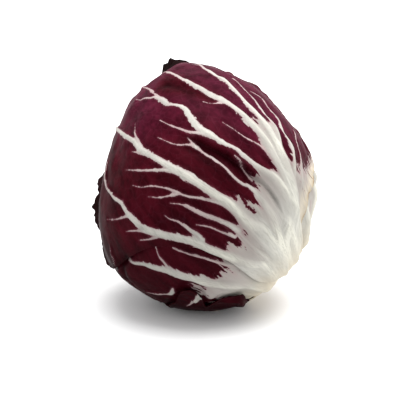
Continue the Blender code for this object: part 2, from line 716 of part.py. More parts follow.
def main():
    for old in list(bpy.data.objects):
        bpy.data.objects.remove(old)
    wine = material("wine_red_blade", (0.12, 0.012, 0.03), 0.45)
    pale = material("pale_rib", (0.78, 0.75, 0.66), 0.4)
    inner = material("inner_leaf", (0.16, 0.02, 0.045), 0.5)
    cut = material("cut_stem", (0.62, 0.5, 0.34), 0.7)
    leaves = make_leaves()
    torn, front, right, lower, back = leaves
    hidden, drawn = lower_ribs()
    torn_tips = ((-140, -160, 0.86), (-122, -146, 0.9), (-82, -58, 0.86), (-66, -40, 0.8))
    right_tips = ((48, 42, 0.9), (64, 62, 0.8), (78, 76, 0.9), (92, 96, 0.92), (106, 114, 0.84),
                  (120, 134, 0.9), (136, 156, 0.8), (150, 176, 0.86))
    back_tips = ((134, 118, 0.86), (150, 140, 0.8), (164, 160, 0.9), (180, 180, 0.94),
                 (194, 198, 0.84), (210, 216, 0.9), (226, 236, 0.8))
    ribs = {
        "torn_leaf": fan(torn, torn_tips, 3.4, 0.8, 3),
        "front_leaf": front_ribs(),
        "right_leaf": fan(right, right_tips, 4.4, 0.8, 5),
        "lower_leaf": fan(lower, hidden, 3.4, 0.7, 4) + drawn,
        "back_leaf": fan(back, back_tips, 4.4, 0.8, 8),
    }
    branches = {"front_leaf": front_branches()}
    for leaf in leaves:
        plate = RibFan(leaf, ribs[leaf.name], branches.get(leaf.name, [])).mesh()
        add_object(leaf.name + "_blade", outward(blade_mesh(leaf)), wine)
        add_object(leaf.name + "_ribs", outward(plate), pale)
    heart, under_stem = heart_mesh(leaves)
    add_object("heart", outward(heart), inner)
    add_object("stem", outward(stem_mesh(under_stem)), cut)


main()
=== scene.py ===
# %% [markdown]
# # A head of round radicchio
# The head lies on its side on a pale table, with its cut stem down to the right and away from us.
# Four wrapper leaves and the rest of a torn one lie round a closed heart.
# We load the packed model first, because every piece has to stay where its solids are.

# %% Load the fixed frame
import math

import bpy
import numpy as np
from mathutils import Matrix


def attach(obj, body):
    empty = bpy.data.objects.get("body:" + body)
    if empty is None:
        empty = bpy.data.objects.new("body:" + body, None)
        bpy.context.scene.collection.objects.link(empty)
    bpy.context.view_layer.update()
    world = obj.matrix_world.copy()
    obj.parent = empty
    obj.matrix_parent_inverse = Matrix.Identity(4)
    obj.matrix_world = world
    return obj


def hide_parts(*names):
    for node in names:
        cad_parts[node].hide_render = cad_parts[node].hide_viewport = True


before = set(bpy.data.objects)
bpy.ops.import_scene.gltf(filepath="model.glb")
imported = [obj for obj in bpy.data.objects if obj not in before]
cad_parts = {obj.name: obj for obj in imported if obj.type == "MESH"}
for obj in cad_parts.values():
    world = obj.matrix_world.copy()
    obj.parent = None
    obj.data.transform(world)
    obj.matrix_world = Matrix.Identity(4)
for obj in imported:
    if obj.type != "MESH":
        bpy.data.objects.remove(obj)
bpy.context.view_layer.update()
MM = 0.001
DEG = math.pi / 180

# %% [markdown]
# ## One form that all the leaves share
# The leaves of a head grow pressed against each other, so their surfaces are nearly the same form.
# We could sculpt each leaf, but then they would cut through each other. Instead there is one
# plump form, given as a radius from the middle of the head for each direction, and each leaf
# lies one pitch lower for every leaf that covers it.

# %% The view that the head is drawn in, and the plump form
HEAD_RADIUS = 57.2 * MM
EXTRA_HEIGHT = 3.65 * MM
LEAN = 0.55 * MM
PEAR_ACROSS = 1.28 * MM
PEAR_UP = -2.04 * MM
SHOULDER_UP = 0.56 * MM
SHOULDER_DIAGONAL = 1.19 * MM
CENTRE_HEIGHT = 58.2 * MM
REST_BLEND = 0.5 * MM
VIEW_ELEVATION = 16 * DEG
VIEW_DISTANCE = 0.80
CENTRE = np.array([0.0, 0.0, CENTRE_HEIGHT])
RIGHT = np.array([1.0, 0.0, 0.0])
UP = np.array([0.0, math.sin(VIEW_ELEVATION), math.cos(VIEW_ELEVATION)])
TOWARD = np.array([0.0, -math.cos(VIEW_ELEVATION), math.sin(VIEW_ELEVATION)])


def unit(v):
    """Each row divided by its own length."""
    return v / np.linalg.norm(v, axis=-1, keepdims=True)


def smooth_step(low, high, value):
    """t * t * (3 - 2t), where t runs from 0 at low to 1 at high."""
    t = np.clip((value - low) / (high - low), 0.0, 1.0)
    return t * t * (3 - 2 * t)


def smooth_min(a, b, width):
    """The smaller of a and b, with the crease between them rounded over a width."""
    near = np.clip(width - np.abs(a - b), 0.0, None)
    return np.minimum(a, b) - near**2 / (4 * width)


def floor_radius(d):
    """Height of the middle over how far each direction points down; very far for the others."""
    down = np.maximum(-d[..., 2], 1e-6)
    return np.where(d[..., 2] < -0.2, CENTRE_HEIGHT / down, 1.0)


def free_radius(d):
    """A sphere and five low waves in the view's x and y: taller than wide, leaning, pear-shaped."""
    x, y = d @ RIGHT, d @ UP
    return (
        HEAD_RADIUS
        - EXTRA_HEIGHT * (x**2 - y**2)
        + LEAN * 2 * x * y
        + PEAR_ACROSS * (x**3 - 3 * x * y**2)
        + PEAR_UP * (3 * x**2 * y - y**3)
        + SHOULDER_UP * (x**4 - 6 * x**2 * y**2 + y**4)
        + SHOULDER_DIAGONAL * 4 * x * y * (x**2 - y**2)
    )


def plump_radius(d):
    """The smaller of the free form and the way to the table, so the head lies on a flat spot."""
    return smooth_min(free_radius(d), floor_radius(d), REST_BLEND)


down_radius = plump_radius(np.array([[0.0, 0.0, -1.0]]))[0]
print("the form reaches down", round(down_radius / MM, 2), "mm from the middle")

# %% [markdown]
# ## Drawing on the head
# A point of the front view is a direction from the eye. Where that ray first meets the plump
# form is the point on the head, and the direction from the middle to it is all that we keep.
# Points that the front view can't show are given as an angle past the outline, or round the stem.

# %% Front view, past the outline, and round the stem
STEM_AXIS = unit(0.645 * RIGHT - 0.74 * UP - 0.19 * TOWARD)
STEM_FRONT = unit(TOWARD - (TOWARD @ STEM_AXIS) * STEM_AXIS)
STEM_SIDE = np.cross(STEM_FRONT, STEM_AXIS)


def seen(x, y):
    """Where the ray from the eye through (x, y) millimetres meets the form, found by halving."""
    eye = CENTRE + VIEW_DISTANCE * TOWARD
    ray = unit(CENTRE + x * MM * RIGHT + y * MM * UP - eye)
    middle = (CENTRE - eye) @ ray
    near, far = middle - 1.5 * HEAD_RADIUS, middle
    for _ in range(40):
        t = (near + far) / 2
        out = eye + t * ray - CENTRE
        length = np.linalg.norm(out)
        if length > plump_radius(out / length):
            near = t
        else:
            far = t
    return unit(eye + far * ray - CENTRE)


def behind(x, y, degrees):
    """The outline's direction at (x, y), turned so many degrees away from the eye."""
    rim = unit(x * RIGHT + y * UP)
    return math.cos(degrees * DEG) * rim - math.sin(degrees * DEG) * TOWARD


def from_stem(d):
    """The angle between each direction and the stem's axis, in radians."""
    return np.arccos(np.clip(d @ STEM_AXIS, -1, 1))


def round_stem(azimuth, angle):
    """The direction at an azimuth round the stem, 0 to the front, and an angle from its axis."""
    a, t = azimuth * DEG, angle * DEG
    across = math.cos(a) * STEM_FRONT + math.sin(a) * STEM_SIDE
    return math.cos(t) * STEM_AXIS + math.sin(t) * across


def drawn(*points):
    """Drawn points in order: two numbers are in the front view, three go past its outline."""
    return [behind(*p) if len(p) == 3 else seen(*p) for p in points]


def by_stem(*points):
    """Points in order, each an azimuth round the stem and an angle from its axis."""
    return [round_stem(*p) for p in points]


print("the stem points along", np.round(STEM_AXIS, 2).tolist())

# %% [markdown]
# ## The long fold and the small dents
# Under its great upper rib the front leaf is pleated, and the whole head is a little uneven.
# The pleat is a drawn line. On one side of it the form drops, and then comes back slowly.
# The dents are soft noise: random numbers on a lattice with smooth blending between them, so they
# are the same on every run.

# %% Distance to a line, soft noise, and the whole form
FOLD_DEPTH = 3.8 * MM
FOLD_REACH = 6.0 * MM
FOLD_WALL = 0.7 * MM
FOLD_STARTS = 22 * MM
FOLD_ENDS = 0.81
FOLD_NARROWS = (43 * MM, 53 * MM)
FOLD_LINE = np.array(drawn(
    (-16, 30), (-8, 27.2), (-1, 24.8), (5.4, 21.8), (12, 18.4), (18, 14.6), (22.9, 10.4),
    (25.4, 7.9), (28.9, 5.2), (31.8, 2.2), (34.6, -1.3), (36.9, -5), (38.4, -9), (39.5, -16)))
CREASE_DEPTH = 1.4 * MM
CREASES = (
    (np.array(drawn((-39, -34), (-39.8, -38), (-38.6, -42), (-36, -46.5))), 2.0 * MM),
    (np.array(drawn((-19, 53), (-8, 50.6), (-2.7, 49.4), (5, 46.5))), 3.4 * MM),
)
DENT_SIZE = 20 * MM
DENT_DEPTH = 0.7 * MM
BULGES = (
    (seen(-40, -40), 2.2 * MM, 9 * MM),
    (behind(-52, -8, 0), -2.6 * MM, 13 * MM),
    (behind(-49, -22, 0), -3.4 * MM, 6 * MM),
    (behind(-25.5, 55.5, 0), -7.0 * MM, 7.5 * MM),
    (behind(14, 60, 0), -3.2 * MM, 10 * MM),
    (behind(55, -9, 0), -5.4 * MM, 12 * MM),
)
fold_length = np.linalg.norm(np.diff(FOLD_LINE, axis=0), axis=1).sum() * HEAD_RADIUS
print("the pleat is", round(fold_length / MM), "mm long")


def distance_to_line(d, line, sided=False):
    """Least distance in metres to the segments of a line of directions, and how far along it.

    Where it is sided, the distance is above 0 on the line's right hand, seen from outside.
    """
    best = np.full(len(d), 1e9)
    where = np.zeros(len(d))
    side = np.ones(len(d))
    passed = 0.0
    for a, b in zip(line[:-1], line[1:]):
        span = b - a
        share = np.clip((d - a) @ span / (span @ span), 0.0, 1.0)
        gap = np.linalg.norm(d - a - share[:, None] * span, axis=1)
        length = np.linalg.norm(span)
        where = np.where(gap < best, passed + share * length, where)
        if sided:
            side = np.where(gap < best, np.sign(d @ np.cross(b, a)), side)
        best = np.minimum(best, gap)
        passed += length
    return side * best * HEAD_RADIUS, where * HEAD_RADIUS


def lattice_value(cell, seed):
    """A number from 0 to 1 for each whole-number cell, by mixing its bits with large primes."""
    mixed = cell[:, 0] * 73856093 ^ cell[:, 1] * 19349663 ^ cell[:, 2] * 83492791 ^ seed * 2654435761
    mixed = (mixed ^ (mixed >> 13)) * 1274126177
    return ((mixed ^ (mixed >> 16)) & 0xFFFF) / 0xFFFF


def soft_noise(points, size, seed):
    """Lattice values blended over each cell by smooth steps along x, y and z; from -1 to 1."""
    place = points / size
    cell = np.floor(place).astype(np.int64)
    part = place - cell
    part = part * part * (3 - 2 * part)
    total = np.zeros(len(points))
    for corner in np.ndindex(2, 2, 2):
        weight = np.prod(np.where(corner, part, 1 - part), axis=1)
        total += weight * lattice_value(cell + corner, seed)
    return 2 * total - 1


def spot(d, middle, reach):
    """1 in the middle of a round spot, falling off like a bell."""
    away = np.linalg.norm(d - middle, axis=1) * HEAD_RADIUS
    return np.exp(-((away / reach) ** 2))


def fold_share(d, reach=FOLD_REACH, one_side=True):
    """How deep the pleat is there, from 0 to 1: steep at its line and slow on its right hand."""
    gap, along = distance_to_line(d, FOLD_LINE, True)
    full = smooth_step(0, FOLD_STARTS, along)
    full = full * smooth_step(fold_length, FOLD_ENDS * fold_length, along)
    narrow = smooth_step(*FOLD_NARROWS, along)
    wall = smooth_step(-FOLD_WALL, FOLD_WALL, gap) if one_side else 1.0
    return full * (1 - 0.55 * narrow) * wall * np.exp(-((gap / (reach * (1 - 0.5 * narrow))) ** 2))


def crease_share(d):
    """1 on a drawn crease, falling off on both sides."""
    shares = [np.exp(-((distance_to_line(d, line)[0] / width) ** 1.5)) for line, width in CREASES]
    return np.max(shares, axis=0)


def form_radius(d):
    """The plump form less the pleat and creases, with dents that fade out towards the table."""
    fold = FOLD_DEPTH * fold_share(d)
    crease = CREASE_DEPTH * crease_share(d)
    clear = smooth_step(0.0, 6 * MM, floor_radius(d) - free_radius(d))
    dents = DENT_DEPTH * soft_noise(d * HEAD_RADIUS, DENT_SIZE, 5)
    for middle, height, reach in BULGES:
        dents = dents + height * spot(d, middle, reach)
    return plump_radius(d) - fold - crease + clear * dents


# %% [markdown]
# ## A wrapper leaf
# A real leaf is a cupped sheet with a waved edge that grips the stem at its foot. Round its own
# middle it is described by a turn and a reach, and its outline is how far it reaches at each turn.
# Where it passes under another leaf it sinks, and where its edge is bare it flares and ruffles.

# %% The leaf's outline, cover and radius
BLADE_THICKNESS = 0.9 * MM
EDGE_THICKNESS = 0.45 * MM
LEAF_PITCH = 1.5 * MM
COVER_WIDTH = 9 * DEG
LEAF_FOOT_ANGLE = 10.6 * DEG
FOOT_DEGREES = (12.0, 30.0)
FLARE_REACH = 3.4 * MM
RUFFLE_REACH = 3.0 * MM
ROLL_INSET = 4.0 * MM
ROLL_WIDTH = 2.8 * MM


def at_foot(d, least):
    """1 over most of the head, and less near the stem, where the leaves grow together."""
    return least + (1 - least) * smooth_step(*FOOT_DEGREES, np.degrees(from_stem(d)))


class Leaf:
    """One wrapper leaf, in polar coordinates round its own middle on the head.

    alpha turns round the middle, 0 towards the stem, and rho is the angle from the middle.
    margin holds directions on the leaf's edge, and soft is how far its corners are rounded.
    edge holds (alpha in degrees, flare, ruffle, and where the edge rolls under, the roll).
    waves holds how many slow and fast waves the edge has, and how far they are shifted.
    dry holds (alpha in degrees, how brown the edge is, how black it is).
    outer holds the leaves that lie over this one.
    """

    def __init__(self, name, middle, margin, edge, waves, dry, soft, outer):
        self.name = name
        self.outer = outer
        self.waves = waves
        self.middle = middle
        self.to_stem = unit(STEM_AXIS - (STEM_AXIS @ middle) * middle)
        self.sideways = np.cross(middle, self.to_stem)
        self.turns = np.radians(np.arange(-180, 181, 1.0))
        alpha, rho = self.polar(np.array(margin))
        order = np.argsort(alpha)
        self.reach = self.closed_curve(alpha[order], rho[order], soft)
        rows = np.array([(*e, 0.0)[:4] for e in edge])
        turn = np.radians(rows[:, 0])
        self.flare, self.ruffle = (self.closed_curve(turn, rows[:, k] * MM, 2.5) for k in (1, 2))
        self.roll = self.closed_curve(turn, rows[:, 3] * MM, 2.0)
        rows = np.array(dry)
        turn = np.radians(rows[:, 0])
        self.brown, self.black = (self.closed_curve(turn, rows[:, k]) for k in (1, 2))
        self.stem_side = self.foot_limit()

    def closed_curve(self, turn, value, soft=5.0):
        """Straight lines through the given values at every degree, smoothed by a bell."""
        turn3 = np.concatenate([turn - 2 * math.pi, turn, turn + 2 * math.pi])
        ring = np.interp(self.turns, turn3, np.tile(value, 3))[:-1]
        kernel = np.exp(-0.5 * (np.arange(-12, 13) / soft) ** 2)
        padded = np.concatenate([ring[-12:], ring, ring[:12]])
        smooth = np.convolve(padded, kernel / kernel.sum(), "valid")
        return np.append(smooth, smooth[0])

    def foot_limit(self):
        """The reach at which each turn meets the cone that is kept clear for the stem."""
        reach = math.acos(self.middle @ STEM_AXIS)
        swing = np.sin(reach) * np.sin(self.turns)
        inside = np.clip(np.sin(LEAF_FOOT_ANGLE) ** 2 - swing**2, 0.0, None)
        hits = (inside > 0) & (np.cos(self.turns) > 0)
        along = np.arctan2(np.sin(reach) * np.cos(self.turns), math.cos(reach))
        across = np.sqrt(1 - np.clip(swing**2, 0, 0.99))
        back = np.arccos(np.clip(math.cos(LEAF_FOOT_ANGLE) / across, -1, 1))
        return np.where(hits, along - back, math.pi)

    def polar(self, d):
        """Turn and reach: the angle round the middle, and the angle away from it."""
        rho = np.arccos(np.clip(d @ self.middle, -1.0, 1.0))
        alpha = np.arctan2(d @ self.sideways, d @ self.to_stem)
        return alpha, rho

    def direction(self, alpha, rho):
        """cos(rho) of the middle plus sin(rho) of the tangent that alpha turns to."""
        tangent = np.cos(alpha)[..., None] * self.to_stem + np.sin(alpha)[..., None] * self.sideways
        return np.cos(rho)[..., None] * self.middle + np.sin(rho)[..., None] * tangent

    def at_turn(self, curve, alpha):
        """A closed curve's value at each turn."""
        return np.interp((alpha + math.pi) % (2 * math.pi) - math.pi, self.turns, curve)

    def margin_rho(self, alpha):
        """The smoothed outline plus slow waves, held back from the stem."""
        ruffle = self.at_turn(self.ruffle, alpha)
        wave = 0.9 * ruffle / HEAD_RADIUS * np.sin(self.waves[0] * alpha + self.waves[2])
        waved = self.at_turn(self.reach, alpha) + wave
        return np.minimum(waved, self.at_turn(self.stem_side, alpha))

    def cover(self, d):
        """1 where this leaf lies over a direction, falling smoothly to 0 past its margin."""
        alpha, rho = self.polar(d)
        return smooth_step(-COVER_WIDTH, 0.0, self.margin_rho(alpha) - rho)

    def depth(self, d):
        """One pitch for each leaf outside this one, times how far it covers."""
        covers = sum((o.cover(d) for o in self.outer), np.zeros(len(d)))
        return LEAF_PITCH * at_foot(d, 0.35) * covers

    def radius(self, d):
        """The form less the depth, plus flare and waved ruffle near a bare edge."""
        alpha, rho = self.polar(d)
        inset = (self.margin_rho(alpha) - rho) * HEAD_RADIUS
        covered = self.depth(d)
        bare = 1 - smooth_step(0.0, 0.5 * LEAF_PITCH, covered)
        flare = self.at_turn(self.flare, alpha) * np.exp(-((inset / FLARE_REACH) ** 2))
        wave = 0.5 + 0.3 * np.sin(self.waves[0] * alpha + self.waves[2])
        wave = wave + 0.2 * np.sin(self.waves[1] * alpha - self.waves[2])
        ruffle = self.at_turn(self.ruffle, alpha) * wave * np.exp(-inset / RUFFLE_REACH)
        roll = self.at_turn(self.roll, alpha) * np.exp(-(((inset - ROLL_INSET) / ROLL_WIDTH) ** 2))
        edge = form_radius(d) - covered + bare * (flare + ruffle + roll)
        return np.minimum(edge, floor_radius(d))


# %% [markdown]
# ## The five wrapper leaves
# They are made from the outside in, so that each knows which leaves lie over it. The front leaf
# is the large one that we see, and only a torn rest of the outermost leaf is left under the head.
# At the top left its edge stands up as a dry black crest, which is given at five turns in degrees.

# %% Outlines of the leaves
leaves = []
CREST = (144, 147.5, 151.5, 156.5, 158.5)


def add_leaf(name, middle, margin, edge, waves, dry, soft=5.0):
    """Makes a leaf that lies under every leaf made before it; lengths are in millimetres."""
    leaves.append(Leaf(name, middle, margin, edge, waves, dry, soft, list(leaves)))
    reach = np.degrees(leaves[-1].reach)
    print(name, "reaches from", round(reach.min()), "to", round(reach.max()), "degrees")


add_leaf(
    "torn_leaf", round_stem(-98, 45),
    by_stem((-72, 12))
    + drawn((36, -46, 20), (30, -52, 12), (21, -57.5), (22.8, -54.6), (19.4, -51.6), (13.4, -52.2),
        (7.9, -53.4), (3.9, -56.4), (0.4, -57.8), (-0.8, -53.4), (-2.6, -49.8), (-7.1, -49.1),
        (-12.4, -49.8), (-13.6, -54.8), (-17, -60, 0), (-26, -55, 10), (-34, -50, 20))
    + by_stem((-100, 76), (-118, 80), (-136, 72), (-152, 55), (-160, 35), (-155, 12)),
    edge=((-180, 0.4, 0.8), (-90, 0.4, 0.8), (0, 0, 0), (36, 0.2, 0.3), (44, 0.2, 0.4, 2.4),
        (56, 0.3, 0.6, 3.4), (68, 0.3, 0.5, 2.4), (74, 0.3, 0.5), (82, 0.6, 0.6), (110, 0.4, 0.6)),
    waves=(19, 31, 0.4),
    dry=((-180, 0.05, 0.2), (-90, 0.05, 0.2), (0, 0, 0), (50, 0, 0.2), (90, 0, 0.2)),
    soft=1.6,
)
add_leaf(
    "front_leaf", seen(-7, 10),
    by_stem((-40, 12), (-24, 26))
    + drawn((30, -44), (22, -39.5), (14, -35.2), (6, -31.8), (-1, -28.7), (-11, -27.2), (-19, -28),
        (-27, -28), (-34, -30), (-39.4, -34), (-45.4, -39.4, 0), (-51, -22, 1), (-51, -18, 3),
        (-54, -4, 4), (-52, 8, 8), (-50, 14, 22), (-42, 32, 36), (-30, 51, 32), (-22, 58, 12),
        (-15, 60, 3), (-9, 62, 4), (-4, 60, 14), (8, 58, 8), (16, 56, -1), (28, 50, -2), (34, 44, 1),
        (42, 34, 2), (48, 24, 1), (53, 14, 2), (53.4, 7), (51.6, -2), (49.6, -11), (47.4, -19))
    + by_stem((48, 26), (66, 12)),
    edge=((-180, 1.2, 1.8), (-149, 1.0, 2.0), (-138, 1.2, 2.2), (-130, 1.6, 2.6), (-114, 2.2, 2.8),
        (-110, 0.4, 1.0), (-107, 0.2, 0.8), (-103, 1.8, 1.6), (-98, 0.5, 1.4), (-90, 0.2, 0.6),
        (-80, 0.1, 0.4), (-40, 0, 0.2), (0, 0, 0), (32, 0, 0.3), (56, 0.4, 0.6), (73, 0.6, 0.8),
        (107, 0.6, 0.9), (130, 1.0, 1.2), (CREST[0], 0.2, 0.6), (CREST[1], 1.0, 1.4),
        (CREST[2], 4.0, 2.2), (CREST[3], 6.4, 2.0), (CREST[4], 0.0, 0.6)),
    waves=(23, 33, 0.9),
    dry=((-180, 0.1, 0.4), (-140, 0.0, 0.6), (-128, 0.0, 1.0), (-100, 0.0, 0.9), (-88, 0.0, 0.2),
        (-40, 0.0, 0.0), (0, 0, 0), (20, 0.3, 0), (40, 0.9, 0), (70, 0.9, 0), (110, 0.9, 0.1),
        (CREST[0], 0.3, 0.2), (CREST[1], 0.0, 2.0), (CREST[2], 0.0, 3.0), (CREST[3], 0.0, 3.0),
        (CREST[4], 0.1, 0.8)),
    soft=3.5,
)
add_leaf(
    "right_leaf", round_stem(98, 84),
    by_stem((22, 12), (8, 36), (12, 60), (28, 92), (50, 122), (85, 148), (135, 152), (172, 130),
        (196, 102), (200, 72), (188, 44), (165, 12)),
    edge=((-180, 0.6, 1.2), (-90, 0, 0.2), (0, 0, 0), (60, 0.6, 0.8), (110, 1.4, 1.6)),
    waves=(21, 37, 2.1),
    dry=((-180, 0.0, 0.3), (0, 0.1, 0), (40, 0.4, 0.1), (70, 0.1, 0.3), (110, 0.0, 0.4)),
)
add_leaf(
    "lower_leaf", round_stem(-62, 72),
    by_stem((22, 9), (9, 45), (-3, 75), (-18, 100), (-42, 118), (-70, 124), (-98, 116), (-120, 98),
        (-130, 72), (-122, 48), (-112, 9)),
    edge=((-180, 0.8, 1.2), (-120, 0.8, 1.4), (0, 0, 0), (90, 0, 0.2)),
    waves=(17, 29, 3.3),
    dry=((-180, 0.0, 0.4), (-120, 0.1, 0.3), (0, 0, 0), (90, 0.0, 0.3)),
)
add_leaf(
    "back_leaf", round_stem(184, 84),
    by_stem((120, 12), (112, 40), (118, 70), (132, 104), (150, 134), (200, 152), (248, 142),
        (268, 120), (272, 92), (262, 62), (254, 38), (246, 12)),
    edge=((-180, 0.4, 0.8), (-90, 0, 0.3), (0, 0, 0), (90, 0.4, 0.8)),
    waves=(19, 33, 4.4),
    dry=((-180, 0.1, 0.4), (-90, 0.0, 0.3), (0, 0, 0), (90, 0.1, 0.3)),
)
torn, front, right, lower, back = leaves

# %% [markdown]
# ## Ribs
# The pale ribs leave the stem side by side and part like the fingers of a hand. Each is a smooth
# line over the head with a width that tapers. The leaf's surface rises to a low ridge along it, and
# its colour changes at its edge, so both are worked out from the same distance.

# %% A rib and its width
RIB_FOOT_ANGLE = 11.5
RIB_FULLNESS = 1.13
TIP_INSET = 3.5 * MM
LINE_POINTS = 48
FAN_HALVES = np.array([1.0, 0.92, 0.78, 0.6, 0.42, 0.28, 0.12])
SIDE_HALVES = np.array([0.42, 0.32, 0.2, 0.06])
BRANCH_HALVES = np.array([1.0, 0.6, 0.35])
THREAD_HALF = 0.1


def smooth_path(points, count):
    """Catmull-Rom splines through the directions, then points evenly spaced along them."""
    p = np.array(points)
    p = np.concatenate([[2 * p[0] - p[1]], p, [2 * p[-1] - p[-2]]])
    t = np.linspace(0, 1, 12, endpoint=False)[:, None]
    pieces = []
    for a, b, c, e in zip(p[:-3], p[1:-2], p[2:-1], p[3:]):
        bend = (2 * a - 5 * b + 4 * c - e) * t**2 + (3 * b - a - 3 * c + e) * t**3
        pieces.append(0.5 * (2 * b + (c - a) * t + bend))
    fine = unit(np.concatenate([*pieces, [p[-2]]]))
    along = np.append(0, np.cumsum(np.linalg.norm(np.diff(fine, axis=0), axis=1)))
    even = np.linspace(0, along[-1], count)
    return unit(np.stack([np.interp(even, along, fine[:, k]) for k in range(3)], 1))


class Rib:
    """A line of directions, and half widths in millimetres at even steps from foot to tip."""

    def __init__(self, points, halves):
        self.line = smooth_path(points, LINE_POINTS)
        steps = np.linalg.norm(np.diff(self.line, axis=0), axis=1)
        self.length = steps.sum() * HEAD_RADIUS
        self.halves = np.array(halves) * RIB_FULLNESS * MM

    def half(self, along):
        """The half width there, from straight lines between the given ones."""
        steps = np.linspace(0, self.length, len(self.halves))
        return np.interp(along, steps, self.halves)


def side_ribs(d, foot_half, draw, first=12):
    """Thin ribs that leave a rib in turn on its left and right, and bend towards its tip."""
    made = []
    side = draw.choice((-1, 1))
    for start in range(first, len(d) - 4, draw.integers(5, 8)):
        here, ahead = d[start], unit(d[start + 3] - d[start])
        across = np.cross(here, ahead) * side
        reach = draw.uniform(0.18, 0.40)
        steps = np.array([0.0, 0.35, 0.7, 1.0])[:, None] * reach
        bent = draw.uniform(0.6, 0.9) * steps - 0.8 * steps**2
        size = foot_half * draw.uniform(0.7, 1.1) * (1 - 0.4 * start / len(d))
        made.append(Rib(list(unit(here + steps * ahead + bent * across)), size * SIDE_HALVES))
        side = -side
    return made


def fan(leaf, tips, foot_half, seed):
    """Ribs spread over the leaf, each an azimuth that drifts as the angle from the stem grows."""
    draw = np.random.default_rng(seed)
    ribs = []
    for i, (start, end, share) in enumerate(tips):
        angles = np.arange(RIB_FOOT_ANGLE, 175, 2.0)
        way = (angles - RIB_FOOT_ANGLE) / 100
        wiggle = draw.uniform(0, 2 * math.pi)
        azimuths = start + (end - start) * way + 3.0 * way * np.sin(5 * way + wiggle)
        d = np.array([round_stem(a, t) for a, t in zip(azimuths, angles)])
        alpha, rho = leaf.polar(d)
        outside = np.nonzero(leaf.margin_rho(alpha) - rho < TIP_INSET / HEAD_RADIUS)[0]
        outside = outside[outside > 6]
        last = int((outside[0] if len(outside) else len(d)) * share)
        size = 1 - 0.2 * (i % 2)
        ribs.append(Rib(list(d[: last + 1 : 3]), foot_half * size * FAN_HALVES))
        ribs += side_ribs(d[: last + 1], foot_half * size, draw)
    return ribs


def carried_on(rib, half, seed):
    """The tip of a front rib carried on over the outline, and the side ribs it has there."""
    draw = np.random.default_rng(seed)
    here = rib.line[-1]
    ahead = unit(here - rib.line[-5])
    steps = np.arange(0, 50, 2.0)[:, None] * DEG
    d = unit(here + np.sin(steps) * ahead - 0.5 * steps**2 * here)
    alpha, rho = front.polar(d)
    d = d[np.cumsum(front.margin_rho(alpha) - rho < TIP_INSET / HEAD_RADIUS) == 0]
    hidden = int(np.argmax(d @ TOWARD < 0.0))
    return [Rib(list(d[::3]), half * FAN_HALVES)] + side_ribs(d, 1.4, draw, hidden + 1)


def drawn_rib(azimuth, halves, points):
    """A rib from its foot at the stem through drawn points."""
    return Rib(by_stem((azimuth, RIB_FOOT_ANGLE)) + drawn(*points), halves)


def branch(foot_half, *points):
    """A side rib through drawn points, which thins to a thread."""
    return Rib(drawn(*points), (*(BRANCH_HALVES * foot_half), THREAD_HALF))


print("a branch thins from its foot by", BRANCH_HALVES.tolist())


